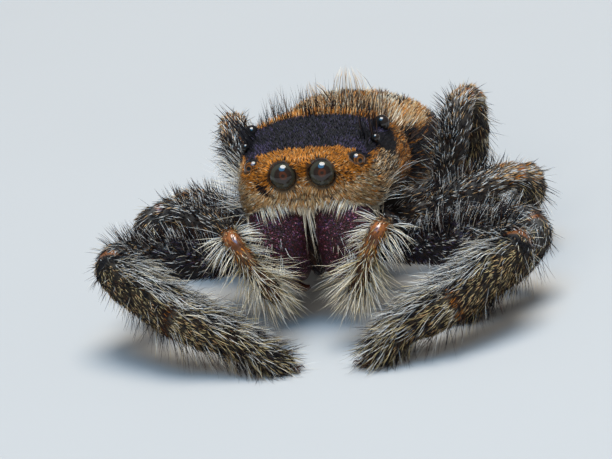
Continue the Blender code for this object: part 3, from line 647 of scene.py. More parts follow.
class SpiderCoatSettings(PropertyGroup):
    """Colours and fullness of the coat."""

    black: FloatVectorProperty(
        name="Black", description="Darkest hairs", default=(0.008, 0.007, 0.010), size=3,
        subtype="COLOR",
    )
    brown: FloatVectorProperty(
        name="Brown", description="Dark brown hairs", default=(0.065, 0.028, 0.012), size=3,
        subtype="COLOR",
    )
    orange: FloatVectorProperty(
        name="Orange", description="Hairs of the face", default=(0.58, 0.205, 0.022), size=3,
        subtype="COLOR",
    )
    tan: FloatVectorProperty(
        name="Tan", description="Hairs of the back and lower face", default=(0.66, 0.41, 0.19),
        size=3, subtype="COLOR",
    )
    cream: FloatVectorProperty(
        name="Cream", description="Hairs of the fringe and feelers", default=(0.85, 0.76, 0.58),
        size=3, subtype="COLOR",
    )
    silver: FloatVectorProperty(
        name="Silver", description="Pale hairs of the legs", default=(0.70, 0.69, 0.65), size=3,
        subtype="COLOR",
    )
    straw: FloatVectorProperty(
        name="Straw", description="Yellowish hairs of the legs", default=(0.56, 0.44, 0.22),
        size=3, subtype="COLOR",
    )
    # Violet is laid on as painted sheen at the edges of the black band, and mixed among dark hairs
    # elsewhere.
    violet: FloatVectorProperty(
        name="Violet", description="Shimmer at the edges of the black band",
        default=(0.075, 0.055, 0.12), size=3, subtype="COLOR",
    )
    fullness: FloatProperty(
        name="Fullness", description="Share of the hairs that are made", default=1.0,
        subtype="FACTOR",
    )


class SpiderEyeSettings(PropertyGroup):
    """Colours of the eyes, with a painted reflection in the outer ring of the front eyes."""

    glow: FloatVectorProperty(
        name="Glow", description="Small ring in the middle of a front eye",
        default=(0.06, 0.016, 0.006), size=3, subtype="COLOR",
    )
    # Rim is a painted reflection of the surroundings in the outer ring of a front eye.
    rim: FloatVectorProperty(
        name="Rim", description="Outer part of a front eye", default=(0.030, 0.029, 0.020),
        size=3, subtype="COLOR",
    )
    amber: FloatVectorProperty(
        name="Amber", description="Colour of the side eyes", default=(0.16, 0.055, 0.008), size=3,
        subtype="COLOR",
    )


class SpiderStageSettings(PropertyGroup):
    """Floor and lights."""

    floor: FloatVectorProperty(
        name="Floor", description="Colour of the floor", default=(0.42, 0.415, 0.40), size=3,
        subtype="COLOR",
    )
    key: FloatProperty(
        name="Key light", description="Power of the light overhead", default=2.3, unit="POWER"
    )
    sky: FloatProperty(
        name="Sky light", description="Power of the blue light above", default=0.9, unit="POWER"
    )
    fill: FloatProperty(
        name="Fill light", description="Power of the light in front", default=1.3, unit="POWER"
    )


# Materials

def link(tree, start, end):
    """Joins two sockets."""
    tree.links.new(start, end)


def add_node(tree, kind, operation=None, values=None):
    """A node of this kind, with its operation and the plain values of its inputs."""
    node = tree.nodes.new("ShaderNode" + kind)
    if operation:
        node.operation = operation
    for socket, value in (values or {}).items():
        node.inputs[socket].default_value = value
    return node


def variation_group():
    """A node group that varies a colour over the surface and gives a height for bumps."""
    group = bpy.data.node_groups.get("fine_variation")
    if group:
        return group
    group = bpy.data.node_groups.new("fine_variation", "ShaderNodeTree")
    face = group.interface
    face.new_socket(name="Colour", in_out="INPUT", socket_type="NodeSocketColor")
    for name, default in (("Scale", 9000.0), ("Amount", 0.3)):
        socket = face.new_socket(name=name, in_out="INPUT", socket_type="NodeSocketFloat")
        socket.default_value = default
    face.new_socket(name="Colour", in_out="OUTPUT", socket_type="NodeSocketColor")
    face.new_socket(name="Height", in_out="OUTPUT", socket_type="NodeSocketFloat")
    start, end = group.nodes.new("NodeGroupInput"), group.nodes.new("NodeGroupOutput")
    place = add_node(group, "TexCoord")
    noise = add_node(group, "TexNoise", values={"Detail": 3.0})
    centred = add_node(group, "Math", "SUBTRACT", {1: 0.5})
    spread = add_node(group, "Math", "MULTIPLY_ADD", {2: 1.0})
    scaled = add_node(group, "VectorMath", "SCALE")
    link(group, place.outputs["Object"], noise.inputs["Vector"])
    link(group, start.outputs["Scale"], noise.inputs["Scale"])
    link(group, noise.outputs["Fac"], centred.inputs[0])
    link(group, centred.outputs[0], spread.inputs[0])
    link(group, start.outputs["Amount"], spread.inputs[1])
    link(group, start.outputs["Colour"], scaled.inputs[0])
    link(group, spread.outputs[0], scaled.inputs["Scale"])
    link(group, scaled.outputs["Vector"], end.inputs["Colour"])
    link(group, noise.outputs["Fac"], end.inputs["Height"])
    return group


def new_material(name, roughness, **settings):
    """A material with a Principled shader, its node tree and that shader."""
    material = bpy.data.materials.new(name)
    material.use_nodes = True
    shader = material.node_tree.nodes["Principled BSDF"]
    shader.inputs["Roughness"].default_value = roughness
    for socket, value in settings.items():
        shader.inputs[socket.replace("_", " ")].default_value = value
    return material, material.node_tree, shader


def add_variation(tree, colour, scale, amount):
    """Places the variation group after a colour or the output of one, and returns its node."""
    node = tree.nodes.new("ShaderNodeGroup")
    node.node_tree = variation_group()
    node.inputs["Scale"].default_value = scale
    node.inputs["Amount"].default_value = amount
    if isinstance(colour, bpy.types.NodeSocket):
        link(tree, colour, node.inputs["Colour"])
    else:
        node.inputs["Colour"].default_value = (*colour, 1)
    return node


def add_bump(tree, shader, height, strength, distance):
    """Roughens a shader with a height."""
    bump = add_node(tree, "Bump", values={"Strength": strength, "Distance": distance})
    link(tree, height, bump.inputs["Height"])
    link(tree, bump.outputs["Normal"], shader.inputs["Normal"])


def attribute(tree, name):
    """A node that reads one of the mesh's attributes."""
    node = add_node(tree, "Attribute")
    node.attribute_name = name
    return node


def skin_material():
    """Leathery skin in the coat's markings, shinier where it is bare."""
    material, tree, shader = new_material("spider_skin", 0.5, Specular_IOR_Level=0.35)
    painted = attribute(tree, "coat_colour")
    mottled = add_variation(tree, painted.outputs["Color"], 3600.0, 1.1)
    varied = add_variation(tree, mottled.outputs["Colour"], 14000.0, 0.9)
    link(tree, varied.outputs["Colour"], shader.inputs["Base Color"])
    gloss = attribute(tree, "gloss")
    rough = add_node(tree, "MapRange", values={"To Min": 0.62, "To Max": 0.22})
    link(tree, gloss.outputs["Fac"], rough.inputs["Value"])
    link(tree, rough.outputs["Result"], shader.inputs["Roughness"])
    link(tree, gloss.outputs["Fac"], shader.inputs["Coat Weight"])
    add_bump(tree, shader, varied.outputs["Height"], 0.5, 0.02 * MM)
    return material


def coat_material():
    """Hair that takes its colours from the mesh."""
    material = bpy.data.materials.get("spider_coat")
    if material:
        return material
    material, tree, shader = new_material("spider_coat", 0.55, Specular_IOR_Level=0.25)
    painted = attribute(tree, "coat_colour")
    varied = add_variation(tree, painted.outputs["Color"], 5000.0, 0.5)
    link(tree, varied.outputs["Colour"], shader.inputs["Base Color"])
    return material


def ramp(tree, stops):
    """A colour ramp with these (position, colour) stops."""
    node = add_node(tree, "ValToRGB")
    band = node.color_ramp
    band.elements[0].position, band.elements[0].color = stops[0][0], (*stops[0][1], 1)
    band.elements[1].position, band.elements[1].color = stops[-1][0], (*stops[-1][1], 1)
    for position, colour in stops[1:-1]:
        band.elements.new(position).color = (*colour, 1)
    return node


def eye_material(name, stops):
    """A wet lens whose colours run out from the middle of its gaze."""
    material, tree, shader = new_material(name, 0.03, Specular_IOR_Level=0.6)
    gaze = attribute(tree, "gaze")
    place = add_node(tree, "TexCoord")
    noise = add_node(tree, "TexNoise", values={"Scale": 6000.0})
    wobble = add_node(tree, "Math", "MULTIPLY_ADD", {1: 0.12, 2: -0.06})
    total = add_node(tree, "Math", "ADD")
    colours = ramp(tree, stops)
    link(tree, place.outputs["Object"], noise.inputs["Vector"])
    link(tree, noise.outputs["Fac"], wobble.inputs[0])
    link(tree, wobble.outputs[0], total.inputs[0])
    link(tree, gaze.outputs["Fac"], total.inputs[1])
    link(tree, total.outputs[0], colours.inputs["Fac"])
    link(tree, colours.outputs["Color"], shader.inputs["Base Color"])
    return material


def jaw_material():
    """Dark plum armour with painted violet, red and blue glints in its fine wrinkles."""
    material, tree, shader = new_material(
        "spider_jaw", 0.45, Specular_IOR_Level=0.3, Coat_Weight=0.12, Coat_Roughness=0.25
    )
    place = add_node(tree, "TexCoord")
    cells = add_node(tree, "TexVoronoi", values={"Scale": 25000.0})
    split = add_node(tree, "SeparateColor")
    colours = ramp(tree, JAW_COLOURS_AND_GLINTS)
    link(tree, place.outputs["Object"], cells.inputs["Vector"])
    link(tree, cells.outputs["Color"], split.inputs["Color"])
    link(tree, split.outputs["Red"], colours.inputs["Fac"])
    link(tree, colours.outputs["Color"], shader.inputs["Base Color"])
    add_bump(tree, shader, cells.outputs["Distance"], 0.9, 0.04 * MM)
    return material


def varied_material(name, colour, roughness, scale, amount, bump=None, **settings):
    """One colour varied over the surface, with a bump of this strength and distance."""
    material, tree, shader = new_material(name, roughness, **settings)
    varied = add_variation(tree, colour, scale, amount)
    link(tree, varied.outputs["Colour"], shader.inputs["Base Color"])
    if bump:
        add_bump(tree, shader, varied.outputs["Height"], *bump)
    return material


def horn_material():
    """Smooth near-black horn of fangs and claws."""
    return bpy.data.materials.get("spider_horn") or varied_material(
        "spider_horn", (0.05, 0.015, 0.008), 0.2, 9000.0, 0.6, (0.2, 0.01 * MM), Coat_Weight=0.6
    )


# Pieces

def add_object(name, mesh, material):
    """Puts a mesh in the scene as a named object with one material."""
    piece = bpy.data.objects.new(name, mesh)
    bpy.context.scene.collection.objects.link(piece)
    mesh.materials.clear()
    mesh.materials.append(material)
    return piece


def settle(piece, slot, *nodes):
    """Lets a piece ride on the body and stand for its nodes. Its slot is not used."""
    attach(piece, "root")
    if nodes:
        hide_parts(*nodes)
    return piece


def place_mesh(mesh):
    """Moves a mesh from the spider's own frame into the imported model's, shaded smooth."""
    mesh.transform(TO_MODEL)
    mesh.shade_smooth()
    mesh.update()
    return mesh


def mesh_from(name, shape):
    """A mesh made from a bmesh, which is freed."""
    bmesh.ops.recalc_face_normals(shape, faces=shape.faces)
    mesh = bpy.data.meshes.new(name)
    shape.to_mesh(mesh)
    shape.free()
    return mesh


def add_ring(shape, place_of, count, capped):
    """Adds a ring whose points a function places by their cosine and sine; its edges."""
    verts = bmesh.ops.create_circle(shape, segments=count, radius=1.0, cap_ends=capped)["verts"]
    ring = set(verts)
    edges = [e for v in verts for e in v.link_edges if e.verts[0] in ring and e.verts[1] in ring]
    for vert in verts:
        vert.co = place_of(vert.co.x, vert.co.y)
    return list(dict.fromkeys(edges))


def add_rings(shape, rings, count):
    """Adds a closed form through rings, each given as the function that places its points."""
    before = []
    for k, place_of in enumerate(rings):
        edges = add_ring(shape, place_of, count, k in (0, len(rings) - 1))
        if before:
            bmesh.ops.bridge_loops(shape, edges=before + edges)
        before = edges


def squared(value, power):
    """A cosine or sine pushed outwards, which makes a ring squarer."""
    return math.copysign(abs(value) ** power, value)


def body_ring(y, half, low, top, inset, power, turn):
    """The function that places an upright ring of head or abdomen."""
    middle, up, across = (low + top) / 2, (top - low) / 2 - inset, half - inset

    def place_of(c, s):
        return turn @ Vector((across * squared(c, power), y, middle + up * squared(s, power)))

    return place_of


def add_oval_body(shape, rows, squareness, inset, turn=Matrix.Identity(4)):
    """Adds a closed form through the ovals of a table, this far inside them."""
    rows = smooth_rows(rows, ROWS_BETWEEN)
    ends = {0: inset, len(rows) - 1: -inset}
    rings = [
        body_ring(y + ends.get(k, 0.0), half, low, top, inset, 2 / squareness, turn)
        for k, (y, half, low, top) in enumerate(rows)
    ]
    add_rings(shape, rings, RING_POINTS)


def tapered_line(points, radii, sides=4):
    """A mesh tube along points, this thick at each, with closed ends."""
    curve = bpy.data.curves.new("line", "CURVE")
    curve.dimensions = "3D"
    curve.bevel_depth = 1.0
    curve.bevel_resolution = sides
    curve.use_fill_caps = True
    spline = curve.splines.new("POLY")
    spline.points.add(len(points) - 1)
    for target, place, radius in zip(spline.points, points, radii):
        target.co = (*place, 1.0)
        target.radius = radius
    guide = bpy.data.objects.new("line", curve)
    bpy.context.scene.collection.objects.link(guide)
    bpy.context.view_layer.update()
    evaluated = guide.evaluated_get(bpy.context.evaluated_depsgraph_get())
    mesh = bpy.data.meshes.new_from_object(evaluated)
    bpy.data.objects.remove(guide)
    bpy.data.curves.remove(curve)
    return mesh


def add_mesh(shape, mesh):
    """Adds a mesh to a bmesh, its loose caps joined on, and removes it."""
    start = len(shape.verts)
    shape.from_mesh(mesh)
    shape.verts.ensure_lookup_table()
    bmesh.ops.remove_doubles(shape, verts=shape.verts[start:], dist=1e-4)
    bpy.data.meshes.remove(mesh)


# How a limb's end is rounded: places past it and thickness there, as shares of its radius
LIMB_END = ((-0.3, 1.0), (-0.05, 0.8), (0.1, 0.4))


def add_limb(shape, limb, share):
    """Adds a limb's flesh to a bmesh, its end rounded off."""
    points = [Vector(place) for place in limb.place]
    radii = [radius * share for radius in limb.radius]
    way = (points[-1] - points[-2]).normalized()
    end, radius = points.pop(), radii.pop()
    for past, thickness in LIMB_END:
        points.append(end + way * radius * past)
        radii.append(radius * thickness)
    add_mesh(shape, tapered_line(points, radii, 5))


def evaluated_mesh(piece):
    """A copy of a piece's mesh with its modifiers applied; the piece is removed."""
    bpy.context.view_layer.update()
    ready = piece.evaluated_get(bpy.context.evaluated_depsgraph_get())
    mesh = bpy.data.meshes.new_from_object(ready)
    bpy.data.objects.remove(piece)
    return mesh


def mesh_arrays(mesh, kind, name, width):
    """One value or vector for each item of a mesh, as rows."""
    items = getattr(mesh, kind)
    flat = np.empty(len(items) * width, np.float64 if name == "co" else np.float32)
    items.foreach_get(name, flat)
    return flat.reshape(-1, width).astype(float)


def eye_centres():
    """(radius, centre) of all eight eyes."""
    found = []
    for radius, place in EYES.values():
        for side in SIDES:
            found.append((radius, np.array((place.x * SIGN[side], place.y, place.z))))
    return found


# Height of the rim round an eye, and how far its dark edge reaches past the lens
EYE_RIM = 0.045
EYE_EDGE = (0.03, 0.07)
EYE_EDGE_DARKNESS = 0.8
UNEVENNESS = 0.012
UNEVENNESS_WAVE = 0.9
SKIN_CLEAR = 0.01
STERNUM_SHARE = 0.97
WAIST_STEPS = (-0.8, 0, 0.9)
FEELER_SHARE = 0.92
# How far the face's lower corners hang beside the jaws
FACE_CORNER = np.array((0.0, -0.3, -0.4))


def shape_skin(mesh):
    """Raises a rim round each eye and gives the skin slight unevenness."""
    places = mesh_arrays(mesh, "vertices", "co", 3)
    normals = mesh_arrays(mesh, "vertices", "normal", 3)
    lift = ripple(places, UNEVENNESS_WAVE) * UNEVENNESS
    for radius, centre in eye_centres():
        far = np.linalg.norm(places - centre, axis=1) / radius
        lift += EYE_RIM * smooth(1.55, 1.15, far) * (0.5 + radius)
    places += normals * lift[:, None]
    x, y, z = places.T
    corner = smooth(0.9, 1.9, np.abs(x)) * smooth(-1.3, -2.2, y)
    corner *= smooth(4.7, 3.9, z) * smooth(2.9, 3.3, z)
    corner *= nearest_part(places) == PARTS.index("head")
    places += corner[:, None] * FACE_CORNER
    places[:, 2] = np.maximum(places[:, 2], SKIN_CLEAR)
    mesh.vertices.foreach_set("co", places.astype(np.float32).ravel())
    mesh.update()


def bare_skin(part, places, normals):
    """How far shiny skin shows on a body part, and how bright it is there."""
    even = np.ones(len(places))
    if part in BODY_PARTS:
        return 0 * even, even
    joint, _, up, inward = limb_facing(LIMBS[part], places, normals)
    if LIMBS[part].number:
        return knee_bare(joint, up, inward), even
    bare = np.maximum(feeler_bare(joint, up), smooth(2.4, 2.8, joint) * 0.3)
    dark = np.exp(-(((joint - 2.36) / 0.14) ** 2)) + smooth(1.98, 1.88, joint)
    return bare, 1.25 - 0.85 * np.minimum(dark, 1)


def paint_skin(mesh):
    """Stores the skin's colour and gloss at each point, from the coat's markings."""
    settings = bpy.context.scene.spider_skin
    places = mesh_arrays(mesh, "vertices", "co", 3)
    normals = mesh_arrays(mesh, "vertices", "normal", 3)
    parts = nearest_part(places)
    colour = np.ones((len(places), 4))
    gloss = np.zeros(len(places))
    for k, part in enumerate(PARTS):
        mine = parts == k
        here, facing = places[mine], normals[mine]
        painted = marks_of(part, here, facing) @ palette() * settings.shade
        bare, bright = bare_skin(part, here, facing)
        bare_colour = np.array(tuple(settings.bare)) * bright[:, None]
        colour[mine, :3] = painted + (bare_colour - painted) * bare[:, None]
        gloss[mine] = bare
    for radius, centre in eye_centres():
        inner, outer = radius + EYE_EDGE[0], radius + EYE_EDGE[1]
        edge = smooth(outer, inner, np.linalg.norm(places - centre, axis=1))
        colour[:, :3] *= 1 - EYE_EDGE_DARKNESS * edge[:, None]
    store_colour(mesh, colour)
    mesh.attributes.new("gloss", "FLOAT", "POINT").data.foreach_set("value", gloss.astype(np.float32))


def store_colour(mesh, colour):
    """Keeps a colour at each point of a mesh for its material."""
    layer = mesh.color_attributes.new("coat_colour", "FLOAT_COLOR", "POINT")
    layer.data.foreach_set("color", colour.astype(np.float32).ravel())


class SPIDER_OT_skin(Operator):
    """Makes the skin of head, abdomen, legs and feelers as one surface"""

    bl_idname = "spider.skin"
    bl_label = "Skin"

    def execute(self, context):
        settings = context.scene.spider_skin
        rough = add_object("skin_form", mesh_from("skin_form", self.flesh(settings)), skin_material())
        remesh = rough.modifiers.new("one_surface", "REMESH")
        remesh.mode = "VOXEL"
        remesh.voxel_size = settings.grain
        soften = rough.modifiers.new("soften", "SMOOTH")
        soften.factor = 0.5
        soften.iterations = 6
        mesh = evaluated_mesh(rough)
        shape_skin(mesh)
        paint_skin(mesh)
        piece = add_object("skin", place_mesh(mesh), bpy.data.materials["spider_skin"])
        limbs = [f"leg_{n}_{s}_{length}" for n, s in LEG_CORNERS for length in ("thigh", "shank")]
        feelers = [f"feeler_{side}" for side in SIDES]
        settle(piece, "head_coat", "cephalothorax", "abdomen", *feelers, *limbs)
        return {"FINISHED"}

    def flesh(self, settings):
        """Every fleshy form in one bmesh, before they grow together."""
        shape = bmesh.new()
        add_oval_body(shape, CARAPACE, CARAPACE_SQUARENESS, settings.depth)
        add_oval_body(shape, ABDOMEN, ABDOMEN_SQUARENESS, settings.depth, abdomen_turn())
        sternum = Matrix.Translation(STERNUM_CENTRE) @ Matrix.Diagonal((*STERNUM_HALF, 1))
        bmesh.ops.create_uvsphere(
            shape, u_segments=32, v_segments=16, radius=STERNUM_SHARE, matrix=sternum
        )
        waist = [WAIST + Vector((0, offset, 0)) for offset in WAIST_STEPS]
        add_mesh(shape, tapered_line(waist, [WAIST_RADIUS - settings.depth] * len(waist)))
        for limb in LIMBS.values():
            add_limb(shape, limb, settings.leg_share if limb.number else FEELER_SHARE)
        return shape


# Where the front eyes look, how far the outer two turn from that, and where the rest look
# beyond their own side
GAZE = Vector((0.22, -0.92, 0.30))
SIDE_EYE_TURN = 0.55
BACK_EYE_GAZE = (-0.25, 0.35)
EYE_POINTS = 48
# How much larger the lenses are than the solid ones
LENS_GROWTH = 0.02
# Darker colours of the lenses, from the middle of a gaze outwards
LENS_DARK = (0.016, 0.009, 0.006)
LENS_BLACK = (0.004, 0.004, 0.004)


class SPIDER_OT_eyes(Operator):
    """Makes the eight lenses"""

    bl_idname = "spider.eyes"
    bl_label = "Eyes"

    def execute(self, context):
        materials = self.materials(context.scene.spider_eyes)
        for kind, (radius, place) in EYES.items():
            for half in SIDES:
                self.make_lens(kind, radius + LENS_GROWTH, place, half, materials[kind])
        return {"FINISHED"}

    def materials(self, colours):
        """The material of each kind of eye."""
        glow, rim, amber = tuple(colours.glow), tuple(colours.rim), tuple(colours.amber)
        # The rim ring of a front eye is a painted reflection of the surroundings.
        front = eye_material("front_eye", (
            (0.0, LENS_DARK), (0.06, LENS_DARK), (0.1, glow), (0.15, glow), (0.2, LENS_DARK),
            (0.36, (0.012, 0.006, 0.004)), (0.44, rim), (0.6, rim), (0.66, LENS_BLACK),
            (1.0, LENS_BLACK),
        ))
        side = eye_material("side_eye", (
            (0.0, LENS_BLACK), (0.14, LENS_BLACK), (0.2, amber), (0.32, (0.02, 0.008, 0.002)),
            (0.42, amber), (0.5, LENS_BLACK), (1.0, LENS_BLACK),
        ))
        rear = eye_material("rear_eye", (
            (0.0, LENS_DARK), (0.5, (0.014, 0.01, 0.008)), (0.8, LENS_BLACK), (1.0, LENS_BLACK),
        ))
        return {"front_middle": front, "front_side": side, "small": rear, "rear": rear}

    def make_lens(self, kind, radius, place, half, material):
        """One lens, its pole turned along its gaze."""
        centre = Vector((place.x * SIGN[half], place.y, place.z))
        outward = GAZE.copy()
        if kind in ("small", "rear"):
            outward = Vector((SIGN[half], *BACK_EYE_GAZE))
        elif kind == "front_side":
            outward.x += SIDE_EYE_TURN * SIGN[half]
        turn = outward.to_track_quat("Z", "Y").to_matrix().to_4x4()
        shape = bmesh.new()
        bmesh.ops.create_uvsphere(shape, u_segments=EYE_POINTS, v_segments=EYE_POINTS // 2, radius=1.0)
        gaze = [math.acos(max(-1.0, min(1.0, v.co.z))) / (math.pi / 2) for v in shape.verts]
        matrix = Matrix.Translation(centre) @ turn @ Matrix.Scale(radius, 4)
        bmesh.ops.transform(shape, matrix=matrix, verts=shape.verts)
        name = f"eye_{kind}_{half}"
        mesh = mesh_from(name, shape)
        mesh.attributes.new("gaze", "FLOAT", "POINT").data.foreach_set("value", gaze)
        settle(add_object(name + "_lens", place_mesh(mesh), material), "eye", name)


JAW_POINTS = 40
# How square the jaws' rings are, 1 being round
JAW_POWER = 0.87
# Room between the jaws and the skin over them
JAW_ROOM = 0.02
# Dark plum of the jaws with painted glints, as a colour ramp from the commonest colour to the rarest
JAW_COLOURS_AND_GLINTS = (
    (0.0, (0.006, 0.001, 0.001)),
    (0.62, (0.02, 0.002, 0.002)),
    (0.84, (0.075, 0.007, 0.013)),
    (0.94, (0.035, 0.016, 0.06)),
    (1.0, (0.36, 0.13, 0.17)),
)


def jaw_ring(sign, z, x, y, across, deep):
    """The function that places a level ring of a jaw."""

    def place_of(c, s):
        wide, thick = across * squared(c, JAW_POWER), deep * squared(s, JAW_POWER)
        return Vector((sign * (x + wide), y + thick, z))

    return place_of


class SPIDER_OT_jaws(Operator):
    """Makes the two jaws and their fangs"""

    bl_idname = "spider.jaws"
    bl_label = "Jaws"

    def execute(self, context):
        material = jaw_material()
        shape = bmesh.new()
        inset = context.scene.spider_skin.depth - JAW_ROOM
        add_oval_body(shape, CARAPACE, CARAPACE_SQUARENESS, inset)
        cutter = add_object("head_cutter", mesh_from("head_cutter", shape), material)
        for side in SIDES:
            shape = bmesh.new()
            rings = [jaw_ring(SIGN[side], *row) for row in smooth_rows(JAW, 5)]
            add_rings(shape, rings, JAW_POINTS)
            form = add_object("jaw_form", mesh_from("jaw_form", shape), material)
            cut = form.modifiers.new("clear_of_head", "BOOLEAN")
            cut.operation = "DIFFERENCE"
            cut.object = cutter
            piece = add_object(f"jaw_{side}_plate", place_mesh(evaluated_mesh(form)), material)
            settle(piece, "jaw", f"jaw_{side}")
            self.make_fang(side)
        bpy.data.objects.remove(cutter)
        return {"FINISHED"}

    def make_fang(self, side):
        """One fang, folded inwards under its jaw."""
        line = smooth_rows([(SIGN[side] * x, y, z) for x, y, z in FANG_CORNERS], 4)
        radii = [FANG_RADIUS * (1 - k / len(line)) ** 0.7 + 0.01 for k in range(len(line))]
        shape = bmesh.new()
        add_mesh(shape, tapered_line(line, radii))
        piece = add_object(f"fang_{side}", place_mesh(mesh_from("fang", shape)), horn_material())
        settle(piece, "jaw")


class SPIDER_OT_spinnerets(Operator):
    """Makes the cluster of spinnerets at the tip of the abdomen"""

    bl_idname = "spider.spinnerets"
    bl_label = "Spinnerets"

    def execute(self, context):
        shape = bmesh.new()
        along = np.linspace(0, 1, SPINNERET_STEPS)
        for turn, length, radius in SPINNERETS:
            around = Vector((math.cos(math.radians(turn)), 0, math.sin(math.radians(turn))))
            points = []
            for t in along:
                out = SPINNERET_GAP + SPINNERET_FLARE * t * t
                points.append(abdomen_turn() @ (SPINNERET_ROOT + around * out + Vector((0, length * t, 0))))
            radii = [radius * (1.0 - 0.35 * t + 0.08 * math.sin(14 * t)) for t in along]
            radii[-2] *= 0.82
            radii[-1] *= 0.35
            add_mesh(shape, tapered_line(points, radii))
        mesh = place_mesh(mesh_from("spinneret_cones", shape))
        leather = varied_material(
            "spinneret_skin", (0.075, 0.042, 0.026), 0.55, 16000.0, 1.0, (0.7, 0.03 * MM)
        )
        settle(add_object("spinneret_cones", mesh, leather), "spinneret", "spinnerets")
        return {"FINISHED"}


# Claws: length, distance from the foot's middle line, radius at root and tip, room above
# the floor
CLAW_LENGTH = 0.3
CLAW_SPREAD = 0.09
CLAW_RADIUS = 0.036
CLAW_TIP = 0.006
CLAW_CLEAR = 0.03


class SPIDER_OT_claws(Operator):
    """Makes a pair of hooked claws at the end of each leg"""

    bl_idname = "spider.claws"
    bl_label = "Claws"

    def execute(self, context):
        shape = bmesh.new()
        for number, side in LEG_CORNERS:
            for hand in (-1, 1):
                self.add_claw(shape, LIMBS[f"leg_{number}_{side}"], hand)
        mesh = place_mesh(mesh_from("claws", shape))
        settle(add_object("claws", mesh, horn_material()), "leg_coat")
        return {"FINISHED"}

    def add_claw(self, shape, limb, hand):
        """One claw, left or right of a foot's middle line, its point bent down."""
        end, way = Vector(limb.place[-1]), Vector(limb.way[-1])
        ahead = Vector((way.x, way.y, 0)).normalized()
        across = ahead.cross(Vector((0, 0, 1)))
        reach = limb.radius[-1] * 0.75
        root = end + ahead * reach + across * (hand * CLAW_SPREAD)
        points, radii = [], []
        for t in np.linspace(0, 1, 7):
            lift = 0.12 + 0.1 * math.sin(2.6 * t) - 0.1 * t
            forward = CLAW_LENGTH * (t - 0.25 * t * t)
            spread = across * (hand * 0.08 * t)
            points.append(root + ahead * forward + spread + Vector((0, 0, lift - end.z)))
            radii.append(CLAW_RADIUS * (1 - t) + CLAW_TIP)
        low = min(point.z for point in points)
        points = [point + Vector((0, 0, max(0.0, CLAW_CLEAR - low))) for point in points]
        add_mesh(shape, tapered_line(points, radii, 2))


# Coat

# What is worked out once and used by every piece of the coat
TABLES = {}
# A trace of chance that lets a hair grow anywhere on its part
LEAST_CHANCE = 1e-9
# How many hairs are compared with the leaders of clumps at a time
CHUNK = 4000
# How deep a hair is rooted in the skin
ROOT_DEPTH = 0.03


def skin_table():
    """The skin's triangles in the spider's own frame: corners, normals, areas and parts."""
    if "skin" in TABLES:
        return TABLES["skin"]
    mesh = bpy.data.objects["skin"].data
    mesh.calc_loop_triangles()
    places = (mesh_arrays(mesh, "vertices", "co", 3) - np.array(HOME)) / MM
    normals = mesh_arrays(mesh, "vertices", "normal", 3)
    corners = np.empty(len(mesh.loop_triangles) * 3, np.int32)
    mesh.loop_triangles.foreach_get("vertices", corners)
    corners = corners.reshape(-1, 3)
    corner = places[corners]
    cross = np.cross(corner[:, 1] - corner[:, 0], corner[:, 2] - corner[:, 0])
    centre = corner.mean(1)
    TABLES["skin"] = {
        "corner": corner,
        "corner_normal": normals[corners],
        "area": np.linalg.norm(cross, axis=1) / 2,
        "centre": centre,
        "normal": unit(normals[corners].sum(1)),
        "part": nearest_part(centre),
    }
    return TABLES["skin"]


def clear_of_eyes(places, room):
    """True for places that lie at least this far outside every eye."""
    clear = np.ones(len(places), bool)
    for radius, centre in eye_centres():
        clear &= np.linalg.norm(places - centre, axis=1) > radius + room
    return clear


def scatter(part, count, weigh, rng, eye_room=None):
    """Random places on a body part, more of them where weigh says: places and normals."""
    skin = skin_table()
    mine = np.flatnonzero(skin["part"] == PARTS.index(part))
    weights = weigh(skin["centre"][mine], skin["normal"][mine]) + LEAST_CHANCE
    chance = skin["area"][mine] * weights
    count = max(1, round(count * bpy.context.scene.spider_coat.fullness))
    chosen = mine[rng.choice(len(mine), size=count, p=chance / chance.sum())]
    a, b = rng.random((2, count))
    over = a + b > 1
    a[over], b[over] = 1 - a[over], 1 - b[over]
    share = np.stack((a, b, 1 - a - b), 1)[:, :, None]
    places = (skin["corner"][chosen] * share).sum(1)
    normals = unit((skin["corner_normal"][chosen] * share).sum(1))
    if eye_room is None:
        return places, normals
    keep = clear_of_eyes(places, eye_room)
    return places[keep], normals[keep]


def columns(*values):
    """Rows of vectors from their x, y and z, each an array or one number for all."""
    return np.stack(np.broadcast_arrays(*values), 1).astype(float)


def combed(normals, lie, lift, spread, rng, ruffle=6):
    """Directions that follow a lie over the surface, lifted from it and a little ruffled."""
    flat = unit(lie - normals * dots(lie, normals)[:, None])
    across = np.cross(normals, flat)
    count = len(normals)
    turn = np.radians(rng.normal(0, spread, count))[:, None]
    flat = flat * np.cos(turn) + across * np.sin(turn)
    raised = np.radians(np.asarray(lift) + rng.normal(0, ruffle, count))[:, None]
    return flat * np.cos(raised) + normals * np.sin(raised)


def loosened(ways, amount, rng):
    """Directions that stray a little from these."""
    return unit(ways + rng.normal(0, amount, ways.shape))


def drawn_together(places, tips, clumps, share, rng):
    """How far each tip moves towards the tip of the nearest of a few hairs."""
    clumps = min(clumps, len(places))
    leaders = rng.choice(len(places), clumps, replace=False)
    moves = np.empty_like(places)
    for start in range(0, len(places), CHUNK):
        rows = slice(start, start + CHUNK)
        gaps = ((places[rows, None] - places[None, leaders]) ** 2).sum(2)
        moves[rows] = tips[leaders[gaps.argmin(1)]] - tips[rows]
    return moves * share


def pick_colours(marks, rng):
    """One palette colour for each hair, by its row of shares, slightly varied."""
    limits = np.cumsum(marks / marks.sum(1, keepdims=True), axis=1)
    chosen = (rng.random(len(marks))[:, None] > limits).sum(1).clip(0, len(COLOURS) - 1)
    return palette()[chosen] * rng.uniform(0.6, 1.3, (len(marks), 1))


